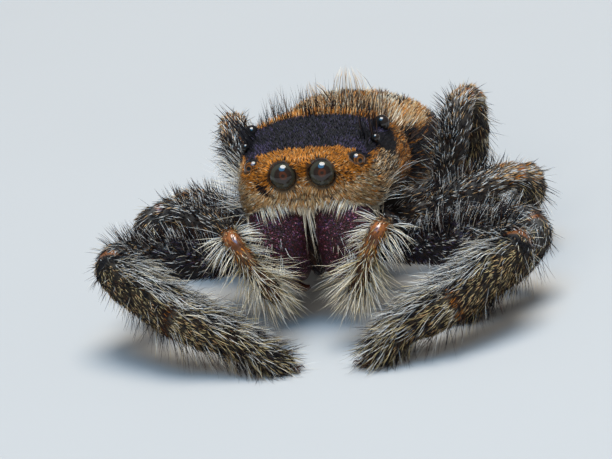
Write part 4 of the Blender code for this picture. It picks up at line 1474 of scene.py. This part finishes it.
def strands(places, normals, ways, lengths, widths, marks, chart, rng, **extra):
    """A group of hairs as arrays. Marks are rows of colour shares, or one set for all.

    Extra: droop, curl, waver, clumps, share, stretches, and root_shade, the painted shade at a hair's root.
    """
    count = len(places)
    if isinstance(marks, dict):
        marks = shares(count, **marks)
    colours = pick_colours(marks, rng)
    lengths = np.broadcast_to(lengths, count) * rng.uniform(0.8, 1.2, count)
    bend = np.array((0.0, 0.0, -1.0)) * extra.get("droop", 0.0)
    bends = np.broadcast_to(bend, (count, 3)) - normals * extra.get("curl", 0.0)
    bends = bends + rng.normal(0, extra.get("waver", 0.05), (count, 3))
    tips = places + lengths[:, None] * (ways + bends)
    if extra.get("clumps"):
        moves = drawn_together(places, tips, extra["clumps"], extra.get("share", 0.4), rng)
        bends = bends + moves / lengths[:, None]
    return {
        "root": places - normals * ROOT_DEPTH,
        "normal": normals,
        "way": ways,
        "bend": bends,
        "length": lengths,
        "width": np.broadcast_to(widths, count) * rng.uniform(0.8, 1.2, count),
        "colour": colours,
        "shade": extra.get("root_shade", 0.45),
        "chart": chart,
        "stretches": extra.get("stretches", 2),
    }


# Rings of a hair by its number of stretches: where they lie along it, and how thick they are
RING_PLACES = {2: (0.0, 0.5), 3: (0.0, 0.36, 0.74)}
RING_SIZES = {2: (1.0, 0.8), 3: (1.0, 0.86, 0.5)}
HAIR_SIDES = 3
HAIR_FLATNESS = 0.65
# Size of one hair's patch on the coat's map, and how far hairs stay above the floor
TUFT_PATCH = 0.003
FLOOR_ROOM = 0.02


def strand_arrays(group):
    """Points, corners, face sizes, colours and map places of a group of hairs."""
    rings = group["stretches"]
    count = len(group["root"])
    side = unit(np.cross(group["way"], group["normal"]) + 1e-6)
    points, colours = [], []
    for k, t in enumerate(RING_PLACES[rings] + (1.0,)):
        bent = group["way"] * t + group["bend"] * t * t
        middle = group["root"] + group["length"][:, None] * bent
        along = unit(group["way"] + 2 * t * group["bend"])
        across = unit(side - along * dots(side, along)[:, None])
        over = np.cross(along, across)
        # Painted shade: each hair is darkened towards its root by its root shade, for the shadow deep in
        # the coat.
        shade = group["shade"] + (1 - group["shade"]) * min(1.0, t * 1.6)
        colour = np.concatenate((group["colour"] * shade, np.ones((count, 1))), 1)
        if k == rings:
            points.append(middle)
            colours.append(colour)
            continue
        half = group["width"][:, None] / 2 * RING_SIZES[rings][k]
        for corner in range(HAIR_SIDES):
            turn = math.radians(90 + 360 / HAIR_SIDES * corner)
            offset = across * math.cos(turn) + over * (math.sin(turn) * HAIR_FLATNESS)
            points.append(middle + offset * half)
            colours.append(colour)
    points = np.stack(points, 1)
    points[:, :, 2] = np.maximum(points[:, :, 2], FLOOR_ROOM)
    corners, sizes = hair_faces(rings)
    starts = np.arange(count)[:, None] * points.shape[1]
    along_patch = np.minimum(corners // HAIR_SIDES, rings) / rings * TUFT_PATCH
    across_patch = np.where(corners == HAIR_SIDES * rings, 1, corners % HAIR_SIDES) / 2 * TUFT_PATCH
    chart = group["chart"] * (1 - TUFT_PATCH)
    places = np.stack((chart[:, :1] + along_patch, chart[:, 1:] + across_patch), 2)
    return (
        points.reshape(-1, 3),
        (starts + corners).ravel(),
        np.tile(sizes, count),
        np.stack(colours, 1).reshape(-1, 4),
        places.reshape(-1, 2),
    )


def hair_faces(rings):
    """The corners of one hair's faces, and how many each face has: root, sides and point."""
    corners, sizes = [2, 1, 0], [3]
    for ring in range(rings):
        for corner in range(HAIR_SIDES):
            here = HAIR_SIDES * ring + corner
            following = HAIR_SIDES * ring + (corner + 1) % HAIR_SIDES
            if ring < rings - 1:
                corners += [here, following, following + HAIR_SIDES, here + HAIR_SIDES]
                sizes.append(4)
            else:
                corners += [here, following, HAIR_SIDES * rings]
                sizes.append(3)
    return np.array(corners), sizes


def coat_piece(name, groups, slot):
    """Joins groups of hairs into one piece of the coat."""
    arrays = list(zip(*(strand_arrays(group) for group in groups)))
    offsets = np.cumsum([0] + [len(points) for points in arrays[0][:-1]])
    points, sizes, colours, charts = (np.concatenate(arrays[k]) for k in (0, 2, 3, 4))
    corners = np.concatenate([rows + offset for rows, offset in zip(arrays[1], offsets)])
    mesh = bpy.data.meshes.new(name)
    mesh.vertices.add(len(points))
    mesh.vertices.foreach_set("co", points.astype(np.float32).ravel())
    mesh.loops.add(len(corners))
    mesh.loops.foreach_set("vertex_index", corners.astype(np.int32))
    mesh.polygons.add(len(sizes))
    starts = np.concatenate(([0], np.cumsum(sizes)[:-1]))
    mesh.polygons.foreach_set("loop_start", starts.astype(np.int32))
    store_colour(mesh, colours)
    layer = mesh.uv_layers.new(name="OFBake")
    layer.uv.foreach_set("vector", charts.astype(np.float32).ravel())
    mesh.update(calc_edges=True)
    piece = add_object(name, place_mesh(mesh), coat_material())
    return settle(piece, slot)


def round_chart(places, centre, pole):
    """Places on a rounded form, unrolled flat about the side that faces the pole."""
    pole = unit(np.array(pole, float))
    side = unit(np.cross(pole, (0.0, 0.6, 0.8)))
    other = np.cross(pole, side)
    ways = unit(places - np.array(centre))
    angle = np.arccos(np.clip(dots(ways, pole), -1, 1)) / math.pi
    turn = np.arctan2(dots(ways, other), dots(ways, side))
    return 0.5 + 0.5 * np.stack((angle * np.cos(turn), angle * np.sin(turn)), 1)


def limb_chart(limb, places, normals):
    """Places on a limb, unrolled along and round it. A pair in one piece shares the map."""
    joint, way, top, _ = limb.frame_at(places)
    side = np.cross(way, top)
    turn = np.arctan2(dots(normals, side), dots(normals, top)) / (2 * math.pi) + 0.5
    if limb.number > 1:
        turn = (turn + SIDES.index(limb.side)) / 2
    return np.stack((np.clip(joint / limb.joint[-1], 0, 1), turn), 1)


# Middles of the forms that the coat's maps are unrolled from
FACE_CENTRE = (0.0, -2.0, 4.4)
HEAD_CENTRE = (0.0, -0.5, 4.2)
ABDOMEN_CENTRE = (0.0, 7.2, 2.2)


def face_lie(places):
    """Which way the face's hair lies: up over the eyes, out on the cheeks, down below."""
    x, y, z = places.T
    lie = columns(x * 0.7, 0.12, 0.9 * smooth(5.0, 5.35, z) - 0.7 * smooth(4.95, 4.4, z))
    outward = columns(np.sign(x) * 0.45, 0.8, 0.3)
    lie = lie + (outward - lie) * smooth(-2.95, -2.3, y)[:, None]
    for radius, centre in eye_centres():
        gap = places - centre
        close = smooth(radius + 0.3, radius + 0.02, np.linalg.norm(gap, axis=1))[:, None]
        lie = lie + (unit(gap) - unit(lie)) * close * 0.75
    return lie


def face_zone(places, normals):
    """Where the short hair of face and cheeks grows."""
    x, y, z = places.T
    front = smooth(0.3, -0.9, y) * smooth(3.3, 3.8, z) * (1 - band_zone(places))
    sparse = 1 - 0.5 * smooth(1.9, 2.2, np.abs(x)) * smooth(5.2, 4.9, z)
    return front * sparse * clear_of_eyes(places, 0.0)


class SPIDER_OT_face_coat(Operator):
    """Makes the short hair of face and cheeks"""

    bl_idname = "spider.face_coat"
    bl_label = "Face coat"

    def execute(self, context):
        rng = np.random.default_rng(SEED)
        places, normals = scatter("head", 18500, face_zone, rng, 0.015)
        low = smooth(4.7, 4.35, places[:, 2])
        cheek = smooth(1.7, 2.2, np.abs(places[:, 0]))
        lengths = 0.18 + 0.17 * np.maximum(low, 0.5 * cheek)
        ways = combed(normals, face_lie(places), 42 - 24 * np.maximum(low, cheek), 11, rng)
        group = strands(
            places, normals, ways, lengths, 0.03, head_marks(places, normals),
            round_chart(places, FACE_CENTRE, (0, -1, 0)), rng,
            curl=0.12, clumps=3000, share=0.4, root_shade=0.12,
        )
        coat_piece("coat_face", [group], "head_coat")
        return {"FINISHED"}


def band_hair_zone(places, normals):
    """Where the black band's hair grows."""
    return band_zone(places) * clear_of_eyes(places, 0.0)


def back_zone(places, normals):
    """Where the carapace's short coat grows, behind the band and thinly underneath."""
    behind = smooth(-0.9, 0.1, places[:, 1])
    under = 0.25 * smooth(3.6, 3.2, places[:, 2])
    return np.maximum(behind, under) * (1 - band_zone(places))


# Layers of the crown's coat: count, zone, length, lift in degrees and width
CROWN_LAYERS = ((9000, band_hair_zone, 0.17, 62, 0.024), (8500, back_zone, 0.36, 24, 0.034))


class SPIDER_OT_crown_coat(Operator):
    """Makes the black band on top of the head and the short coat of the back"""

    bl_idname = "spider.crown_coat"
    bl_label = "Crown coat"

    def execute(self, context):
        rng = np.random.default_rng(SEED + 1)
        groups = []
        for count, zone, length, lift, width in CROWN_LAYERS:
            places, normals = scatter("head", count, zone, rng, 0.03)
            x, y, _ = places.T
            ways = combed(normals, columns(x * 0.3, 1.0, -0.15 * y.clip(0, 3)), lift, 16, rng)
            groups.append(strands(
                places, normals, ways, length, width, head_marks(places, normals),
                round_chart(places, HEAD_CENTRE, (0, 0, 1)), rng,
                curl=0.15, clumps=1200, share=0.2, root_shade=0.3,
            ))
        coat_piece("coat_crown", groups, "head_coat")
        return {"FINISHED"}


def onto_skin(points, part="head"):
    """The skin's nearest triangle to each point: its centre and normal."""
    skin = skin_table()
    mine = np.flatnonzero(skin["part"] == PARTS.index(part))
    centres = skin["centre"][mine]
    chosen = np.array([mine[((point - centres) ** 2).sum(1).argmin()] for point in points])
    return skin["centre"][chosen].copy(), skin["normal"][chosen].copy()


def either_side(rng, count):
    """1 or -1 for each hair, by chance."""
    return np.where(rng.random(count) < 0.5, 1.0, -1.0)


def jaw_section(height):
    """A jaw's centre across and along, half width and half depth at these heights."""
    table = np.array(JAW)[::-1]
    return (np.interp(height, table[:, 0], table[:, k]) for k in (1, 2, 3, 4))


def head_hair(places, normals, ways, lengths, widths, marks, rng, **extra):
    """A group of longer hairs of the head."""
    chart = round_chart(places, HEAD_CENTRE, (0, -0.7, 0.7))
    return strands(
        places, normals, ways, lengths, widths, marks, chart, rng, stretches=3, **extra
    )


def fringe(rng):
    """Cream hair that hangs from the lower edge of the face over the jaws."""

    def zone(places, normals):
        return face_edge(places, normals) * smooth(-0.97, -0.8, normals[:, 2])

    places, normals = scatter("head", 1900, zone, rng)
    x = places[:, 0]
    ways = loosened(unit(columns(-0.6 * np.tanh(x * 2) + 0.12 * x, -0.75, -0.55)), 0.16, rng)
    lengths = (0.24 + 0.26 * smooth(0.3, 1.3, np.abs(x))) * rng.uniform(0.55, 1.35, len(x))
    marks = dict(cream=0.72, silver=0.22, tan=0.06)
    return head_hair(
        places, normals, ways, lengths, 0.03, marks, rng,
        droop=0.5, clumps=130, share=0.3, root_shade=0.9,
    )


def centre_tuft(rng):
    """The tuft that hangs between the jaws."""
    count = 24
    points = np.array((0.0, -3.3, 4.0)) + rng.normal(0, 1, (count, 3)) * np.array((0.06, 0.04, 0.04))
    places, normals = onto_skin(points)
    ways = combed(normals, columns(rng.normal(0.06, 0.1, count), -0.3, -1.0), 20, 8, rng)
    return head_hair(
        places, normals, ways, 1.4, 0.022, dict(silver=0.3, cream=0.7), rng,
        droop=0.35, clumps=4, share=0.25, root_shade=0.95, waver=0.08,
    )


def cheeks(rng):
    """Long thin pale hair that sweeps out and up from the cheeks, most on the right."""

    def zone(places, normals):
        x, y, z = places.T
        side = smooth(1.9, 2.3, np.abs(x)) * smooth(-2.8, -2.2, y) * smooth(0.2, -0.9, y)
        top = np.where(x > 0, 4.3, 4.7)
        share = np.where(x > 0, 0.4, 1.0)
        return share * side * smooth(2.8, 3.3, z) * smooth(top, top - 0.4, z)

    places, normals = scatter("head", 190, zone, rng)
    x, _, z = places.T
    right = x < 0
    rise = np.where(right, 0.1, 0.35) + 0.5 * (z - 3.9)
    ways = combed(normals, columns(np.sign(x), np.where(right, -0.1, 0.35), rise), 40, 14, rng)
    lengths = np.where(right, 0.6, 0.35) + np.where(right, 0.85, 0.6) * rng.random(len(x)) ** 1.6
    marks = shares(len(x), silver=0.42, cream=0.16, black=0.42)
    marks = paint(marks, right.astype(float), silver=0.66, cream=0.24, black=0.1)
    return head_hair(places, normals, ways, lengths, 0.022, marks, rng, curl=-0.12, waver=0.08)


def eye_tufts(rng):
    """Stiff black bristles beside the small eyes, which lean outwards on the right."""
    count = 60
    side = np.where(np.arange(count) % 2, 1.0, -1.0)
    points = np.array((1.98, -1.45, 5.5)) + rng.normal(0, 1, (count, 3)) * np.array((0.14, 0.32, 0.05))
    points[:, 0] *= side
    places, normals = onto_skin(points)
    right = side < 0
    lean = columns(np.where(right, -0.62, 0.04), np.where(right, 0.2, 0.05), 1.0)
    ways = loosened(lean, 0.11, rng)
    long = rng.random(count) < 0.4
    lengths = np.where(long, np.where(right, 1.45, 1.2), 0.7)
    return head_hair(
        places, normals, ways, lengths, np.where(long, 0.05, 0.036), dict(black=0.92, brown=0.08),
        rng, clumps=14, share=0.45, root_shade=0.9, waver=0.03,
    )


def crest(rng):
    """Thin erect dark hairs behind the black band."""

    def zone(places, normals):
        x, y, z = places.T
        return smooth(-1.0, -0.6, y) * smooth(1.6, 0.4, y) * (z > 5.0) * (np.abs(x) < 2.3)

    places, normals = scatter("head", 400, zone, rng)
    x = places[:, 0]
    ways = loosened(columns(x * 0.06, 0.28, 1.0), 0.12, rng)
    lengths = (0.42 + 0.54 * rng.random(len(x))) * smooth(-2.8, -1.2, x) + 0.1
    return head_hair(
        places, normals, ways, lengths, 0.02, dict(black=0.78, brown=0.22), rng,
        root_shade=0.9, waver=0.08,
    )


def crest_base(rng):
    """Short orange-brown hair at the foot of the crest."""

    def zone(places, normals):
        x, y, z = places.T
        return smooth(-0.5, -0.35, y) * smooth(0.5, 0.0, y) * (z > 5.2) * (np.abs(x) < 2.0)

    places, normals = scatter("head", 600, zone, rng)
    ways = combed(normals, columns(places[:, 0] * 0.1, 1.0, 0.0), 55, 15, rng)
    marks = dict(orange=0.45, brown=0.35, tan=0.2)
    return head_hair(places, normals, ways, 0.3, 0.03, marks, rng, root_shade=0.5)


def jaw_hair(rng):
    """A few pale hairs on the outer sides of the jaws."""
    count = 150
    side = either_side(rng, count)
    turn = rng.uniform(-0.3, 1.25, count)
    height = rng.uniform(2.2, 3.5, count)
    x, y, across, deep = jaw_section(height)
    normals = columns(side * np.sin(turn), -np.cos(turn), 0.0)
    places = columns(
        side * (x + across * np.sin(turn) * 0.97), y - deep * np.cos(turn) * 0.97, height
    )
    ways = combed(normals, columns(side * 0.2, 0.0, -1.0), 35, 20, rng)
    marks = dict(silver=0.5, cream=0.3, brown=0.2)
    return head_hair(places, normals, ways, 0.5, 0.02, marks, rng, droop=0.1)


def between_jaws(rng):
    """Dark brushes along the inner edges of the jaws."""
    count = 420
    side = either_side(rng, count)
    height = rng.uniform(1.75, 3.3, count)
    x, y, across, deep = jaw_section(height)
    normals = columns(-side, 0.0, 0.0)
    places = columns(side * (x - across * 0.96), y + rng.uniform(-0.3, 0.4, count) * deep, height)
    ways = combed(normals, np.array((0.0, -0.15, -1.0)), 38, 14, rng)
    marks = dict(black=0.7, brown=0.3)
    return head_hair(places, normals, ways, 0.5, 0.03, marks, rng, droop=0.1)


FACE_HAIR = (fringe, centre_tuft, cheeks, eye_tufts, crest, crest_base, jaw_hair, between_jaws)


class SPIDER_OT_face_hair(Operator):
    """Makes the fringe over the jaws, the long cheek hair, the crest and the eye tufts"""

    bl_idname = "spider.face_hair"
    bl_label = "Face hair"

    def execute(self, context):
        rng = np.random.default_rng(SEED + 2)
        coat_piece("coat_face_hair", [grow(rng) for grow in FACE_HAIR], "head_coat")
        return {"FINISHED"}


def upper_zone(places, normals):
    """Where the abdomen's even coat grows, thinner underneath."""
    return np.where(normals[:, 2] < -0.3, 0.5, 1.0)


def dome_zone(places, normals):
    """Where the long wisps stand, on top of the abdomen's front."""
    middle = smooth(1.6, 0.6, np.abs(places[:, 0] + 0.4))
    return smooth(6.2, 4.2, places[:, 1]) * smooth(0.1, 0.6, normals[:, 2]) * middle


def tail_zone(places, normals):
    """Where the tail's brush grows, round the spinnerets."""
    return smooth(10.2, 10.9, places[:, 1])


# Layers of the abdomen's coat: name, count, zone, length, lift in degrees, width, stretches,
# clumps, how far they are drawn together, and own colours
ABDOMEN_LAYERS = (
    ("coat_abdomen", 16000, upper_zone, 0.42, 22, 0.036, 2, 1600, 0.4, None),
    ("coat_abdomen_long", 6500, upper_zone, 0.6, 26, 0.028, 3, 900, 0.4, None),
    (
        "coat_abdomen_wisps", 300, dome_zone, 1.45, 72, 0.024, 3, 11, 0.7,
        dict(cream=0.3, tan=0.45, brown=0.25),
    ),
    (
        "coat_tail", 420, tail_zone, 0.66, 0, 0.026, 3, 0, 0.4,
        dict(black=0.3, brown=0.4, tan=0.2, cream=0.1),
    ),
)


class SPIDER_OT_abdomen_coat(Operator):
    """Makes the coat of the abdomen"""

    bl_idname = "spider.abdomen_coat"
    bl_label = "Abdomen coat"

    def execute(self, context):
        rng = np.random.default_rng(SEED + 3)
        back = np.array(abdomen_turn().to_3x3() @ Vector((0, 1, 0)))
        for name, count, zone, length, lift, width, stretches, clumps, share, marks in ABDOMEN_LAYERS:
            places, normals = scatter("abdomen", count, zone, rng)
            x, y, _ = places.T
            front = smooth(4.6, 3.9, y)
            dome = smooth(6.6, 4.8, y) * smooth(0.2, 0.7, normals[:, 2])
            lie = back + columns(x * 0.08, 0.0, 0.0)
            ways = combed(normals, lie, lift + 18 * front + 12 * dome, 12, rng)
            if zone is tail_zone:
                ways = loosened(back + normals * 0.32, 0.1, rng)
            if zone is upper_zone:
                length = length * (1 + 0.4 * dome)
            group = strands(
                places, normals, ways, length, width, marks or abdomen_marks(places),
                round_chart(places, ABDOMEN_CENTRE, (0, 0, 1)), rng,
                droop=0.05, curl=0.12, clumps=clumps, share=share, stretches=stretches,
            )
            coat_piece(name, [group], "abdomen_coat")
        return {"FINISHED"}


def short_zone(joint, up, inward):
    """Where a leg's short coat grows, thinner inside the thigh and on a bare knee."""
    inside = smooth(1.0, 1.3, joint) * smooth(1.75, 1.6, joint) * smooth(0.3, 0.0, up)
    bare = knee_bare(joint, up, inward)
    return (smooth(0.2, 0.9, joint) + 0.1) * (1 - 0.9 * bare) * (1 - 0.5 * inside)


def silver_zone(joint, up, inward):
    """Where silver hair grows, above and inside the shank."""
    return smooth(2.1, 2.4, joint) * smooth(4.6, 4.1, joint) * silver_side(up, inward)


def erect_zone(joint, up, inward):
    """Where dark hair stands, on top of the thigh."""
    return smooth(0.9, 1.15, joint) * smooth(1.95, 1.75, joint) * smooth(0.3, 0.75, up)


def guard_zone(joint, up, inward):
    """Where dark guard hairs stand out, most of them below."""
    below = 0.4 + 0.6 * smooth(0.2, -0.3, up)
    return smooth(1.5, 2.0, joint) * below * (1 - knee_bare(joint, up, inward))


def pale_guard_zone(joint, up, inward):
    """Where pale guard hairs stand out."""
    return smooth(0.7, 1.5, joint) * (1 - knee_bare(joint, up, inward))


def foot_zone(joint, up, inward):
    """Where the foot's brush grows."""
    return smooth(3.3, 4.4, joint)


def feeler_zone(joint, up, inward):
    """Where a feeler's short hair grows."""
    return 1 - 0.72 * feeler_bare(joint, up)


def feeler_side_zone(joint, up, inward):
    """Where white hair stands out sideways from the upper feeler."""
    return smooth(1.3, 1.8, joint) * smooth(2.8, 2.5, joint) * smooth(0.8, 0.35, np.abs(up))


def fan_zone(joint, up, inward):
    """Where the fan grows, on the lower feeler."""
    return smooth(2.5, 2.9, joint)


class LimbHair(NamedTuple):
    """One kind of hair on a limb. Lift and length are numbers or functions of the joint number.

    Angles are in degrees, per_clump is how many hairs are drawn together, no marks means the
    limb's own, and a scaled kind is shorter on thinner legs.
    """

    count: int
    zone: object
    lift: object
    spread: float
    ruffle: float
    length: object
    width: float
    marks: dict = None
    per_clump: float = 0
    scaled: bool = True
    extra: dict = {}


LEG_HAIR = (
    # The short speckled coat
    LimbHair(
        11800, short_zone, lambda joint: 20 + 14 * smooth(1.5, 1.1, joint), 14, 9, 0.34, 0.032,
        per_clump=8, scaled=False, extra=dict(curl=0.14, share=0.25, root_shade=0.3),
    ),
    # Long silver hair of the shank
    LimbHair(
        820, silver_zone, 34, 16, 12, lambda joint: 1.25 - 0.3 * smooth(3.4, 4.4, joint), 0.023,
        dict(silver=0.48, cream=0.12, straw=0.06, black=0.34), per_clump=6,
        extra=dict(droop=0.05, curl=0.3, share=0.25, stretches=3, root_shade=0.5),
    ),
    # Long dark hair on top of the thigh
    LimbHair(
        620, erect_zone, 60, 11, 6, 0.72, 0.027, dict(black=0.75, brown=0.15, silver=0.1),
        per_clump=8, extra=dict(stretches=3, share=0.2, root_shade=0.8),
    ),
    # Thin dark guard hairs all round
    LimbHair(
        560, guard_zone, 52, 16, 10, lambda joint: 0.92 - 0.36 * near_knee(joint), 0.02,
        dict(black=0.78, brown=0.22), extra=dict(droop=0.06, stretches=3),
    ),
    # Long thin pale hairs among the others
    LimbHair(
        260, pale_guard_zone, 46, 12, 6, lambda joint: 1.0 - 0.4 * near_knee(joint), 0.019,
        dict(silver=0.5, cream=0.25, straw=0.25), extra=dict(droop=0.1, stretches=3),
    ),
    # The brush that makes the foot blunt
    LimbHair(
        800, foot_zone, 46, 15, 12, 0.72, 0.024,
        dict(black=0.52, straw=0.22, silver=0.16, brown=0.1), per_clump=6,
        extra=dict(curl=0.2, share=0.25, stretches=3),
    ),
)
FEELER_HAIR = (
    # Short hair under the long
    LimbHair(2800, feeler_zone, 24, 12, 6, 0.3, 0.028, extra=dict(curl=0.15)),
    # White hair that stands out sideways and droops
    LimbHair(
        112, feeler_side_zone, 64, 18, 12, 0.9, 0.022, dict(cream=0.5, silver=0.45, straw=0.05),
        extra=dict(droop=0.28, clumps=44, share=0.4, stretches=3, root_shade=0.7, waver=0.12),
    ),
    # The fan of long cream hair
    LimbHair(
        255, fan_zone, lambda joint: 50 - 16 * smooth(3.2, 3.9, joint), 24, 16,
        lambda joint: 1.4 - 0.35 * smooth(3.3, 4.0, joint), 0.022,
        dict(cream=0.62, straw=0.26, silver=0.12),
        extra=dict(
            droop=0.06, curl=0.08, clumps=90, share=0.3, stretches=3, root_shade=0.4, waver=0.1
        ),
    ),
)


def along_limb(value, joint):
    """A value at places on a limb, from a number or a function of the joint number."""
    return value(joint) if callable(value) else value


def limb_hair(limb, kind, rng, fullness=1.0):
    """One kind of hair on a leg or feeler."""
    count = kind.count * fullness

    def weigh(places, normals):
        joint, _, up, inward = limb_facing(limb, places, normals)
        return kind.zone(joint, up, inward)

    places, normals = scatter(limb.name, count, weigh, rng)
    joint, way, up, inward = limb_facing(limb, places, normals)
    ways = combed(normals, way, along_limb(kind.lift, joint), kind.spread, rng, kind.ruffle)
    marks = kind.marks or limb_marks(limb, joint, up, inward)
    lengths = along_limb(kind.length, joint) * (limb.girth if kind.scaled else 1.0)
    extra = dict(kind.extra)
    if kind.per_clump:
        extra["clumps"] = round(count / kind.per_clump)
    chart = limb_chart(limb, places, normals)
    return strands(places, normals, ways, lengths, kind.width, marks, chart, rng, **extra)


# Hairs on a leg of each pair as shares of a front leg's numbers
LEG_FULLNESS = {1: 1.0, 2: 0.36, 3: 0.36, 4: 0.42}


class SPIDER_OT_leg_coats(Operator):
    """Makes the coat of the eight legs"""

    bl_idname = "spider.leg_coats"
    bl_label = "Leg coats"

    def execute(self, context):
        for number, fullness in LEG_FULLNESS.items():
            pair = []
            for k, side in enumerate(SIDES):
                rng = np.random.default_rng(SEED + 10 * number + k)
                limb = LIMBS[f"leg_{number}_{side}"]
                groups = [limb_hair(limb, kind, rng, fullness) for kind in LEG_HAIR]
                if number == 1:
                    coat_piece(f"coat_leg_1_{side}", groups, "leg_coat")
                pair += groups
            if number > 1:
                coat_piece(f"coat_legs_{number}", pair, "leg_coat")
        return {"FINISHED"}


class SPIDER_OT_feeler_coats(Operator):
    """Makes the hair of the two feelers"""

    bl_idname = "spider.feeler_coats"
    bl_label = "Feeler coats"

    def execute(self, context):
        for k, side in enumerate(SIDES):
            rng = np.random.default_rng(SEED + 60 + k)
            groups = [limb_hair(LIMBS[f"feeler_{side}"], kind, rng) for kind in FEELER_HAIR]
            coat_piece(f"coat_feeler_{side}", groups, "feeler_coat")
        return {"FINISHED"}


# Stage

VIEW = "Standard"
# Half the floor's width and the place that the lights face, in metres
FLOOR_HALF = 0.8
LIGHTS_AIM = (0, 0, 0.003)
# Lights: size and place in metres, and colour
LIGHTS = {
    "key": (0.26, (0.05, 0.03, 0.42), (1.0, 0.93, 0.84)),
    "sky": (0.28, (0.02, -0.1, 0.36), (0.08, 0.5, 1.0)),
    "fill": (0.3, (-0.02, -0.45, 0.2), (1.0, 0.95, 0.9)),
}
BACKDROP = (0.84, 0.86, 0.9)
BACKDROP_STRENGTH = 0.24
# The camera's sensor in millimetres, and the nearest place that it draws in metres
SENSOR_WIDTH = 36
NEAREST_DRAWN = 0.001


def add_area_light(name, power, size, place, colour):
    """A soft round light that shines on the spider."""
    light = bpy.data.lights.new(name, "AREA")
    light.shape = "DISK"
    light.energy = power
    light.size = size
    light.color = colour
    lamp = bpy.data.objects.new(name, light)
    lamp.location = place
    lamp.rotation_mode = "QUATERNION"
    lamp.rotation_quaternion = (Vector(LIGHTS_AIM) - Vector(place)).to_track_quat("-Z", "Y")
    bpy.context.scene.collection.objects.link(lamp)
    return lamp


class SPIDER_OT_stage(Operator):
    """Makes the floor, the lights and the photograph's camera"""

    bl_idname = "spider.stage"
    bl_label = "Stage"

    def execute(self, context):
        settings = context.scene.spider_stage
        shape = bmesh.new()
        bmesh.ops.create_grid(shape, x_segments=1, y_segments=1, size=FLOOR_HALF)
        mesh = bpy.data.meshes.new("floor")
        shape.to_mesh(mesh)
        shape.free()
        matt = varied_material("pale_floor", tuple(settings.floor), 0.7, 90.0, 0.03)
        add_object("floor", mesh, matt)
        lamps = {name: add_area_light(name, getattr(settings, name), *LIGHTS[name]) for name in LIGHTS}
        lamps["fill"].visible_glossy = False
        world = bpy.data.worlds.new("studio")
        context.scene.world = world
        context.scene.view_settings.view_transform = VIEW
        world.use_nodes = True
        background = world.node_tree.nodes["Background"]
        background.inputs["Color"].default_value = (*BACKDROP, 1)
        background.inputs["Strength"].default_value = BACKDROP_STRENGTH
        self.add_camera(context)
        return {"FINISHED"}

    def add_camera(self, context):
        """The camera, turned and rolled as the photograph was taken."""
        azimuth, elevation = math.radians(CAMERA_AZIMUTH), math.radians(CAMERA_ELEVATION)
        level = math.cos(elevation)
        back = Vector((math.sin(azimuth) * level, -math.cos(azimuth) * level, math.sin(elevation)))
        roll = Matrix.Rotation(math.radians(-CAMERA_ROLL), 3, "Z").to_quaternion()
        turn = (-back).to_track_quat("-Z", "Y") @ roll
        right, up = turn @ Vector((1, 0, 0)), turn @ Vector((0, 1, 0))
        aim = TO_MODEL @ EYES_MIDDLE
        aim += (right * EYES_IN_PICTURE[0] + up * EYES_IN_PICTURE[1]) * PIXEL
        lens = bpy.data.cameras.new("camera")
        lens.sensor_width = SENSOR_WIDTH
        lens.lens = SENSOR_WIDTH * CAMERA_DISTANCE / (PICTURE_WIDTH * PIXEL)
        lens.clip_start = NEAREST_DRAWN
        camera = bpy.data.objects.new("camera", lens)
        camera.rotation_mode = "QUATERNION"
        camera.rotation_quaternion = turn
        camera.location = aim + back * CAMERA_DISTANCE
        context.scene.collection.objects.link(camera)
        context.scene.camera = camera


OPERATORS = (
    SPIDER_OT_skin,
    SPIDER_OT_eyes,
    SPIDER_OT_jaws,
    SPIDER_OT_spinnerets,
    SPIDER_OT_claws,
    SPIDER_OT_face_coat,
    SPIDER_OT_crown_coat,
    SPIDER_OT_face_hair,
    SPIDER_OT_abdomen_coat,
    SPIDER_OT_leg_coats,
    SPIDER_OT_feeler_coats,
    SPIDER_OT_stage,
)


class SPIDER_PT_panel(Panel):
    """The steps that make the spider"""

    bl_idname = "SPIDER_PT_panel"
    bl_label = "Jumping spider"
    bl_space_type = "VIEW_3D"
    bl_region_type = "UI"
    bl_category = "Spider"

    def draw(self, context):
        for operator in OPERATORS:
            self.layout.operator(operator.bl_idname)
        for name in SETTINGS:
            group = getattr(context.scene, name)
            for key in group.__annotations__:
                self.layout.prop(group, key)


SETTINGS = {
    "spider_skin": SpiderSkinSettings,
    "spider_coat": SpiderCoatSettings,
    "spider_eyes": SpiderEyeSettings,
    "spider_stage": SpiderStageSettings,
}


def register():
    """Registers the settings, the operators and the panel."""
    for name, group in SETTINGS.items():
        bpy.utils.register_class(group)
        setattr(bpy.types.Scene, name, PointerProperty(type=group))
    for operator in OPERATORS:
        bpy.utils.register_class(operator)
    bpy.utils.register_class(SPIDER_PT_panel)


def unregister():
    """Takes back what register did."""
    bpy.utils.unregister_class(SPIDER_PT_panel)
    for operator in reversed(OPERATORS):
        bpy.utils.unregister_class(operator)
    for name, group in reversed(SETTINGS.items()):
        delattr(bpy.types.Scene, name)
        bpy.utils.unregister_class(group)


def main():
    """Makes every piece in order."""
    register()
    for operator in OPERATORS:
        step = operator.bl_idname.split(".")[1]
        getattr(bpy.ops.spider, step)()


if __name__ == "__main__":
    main()
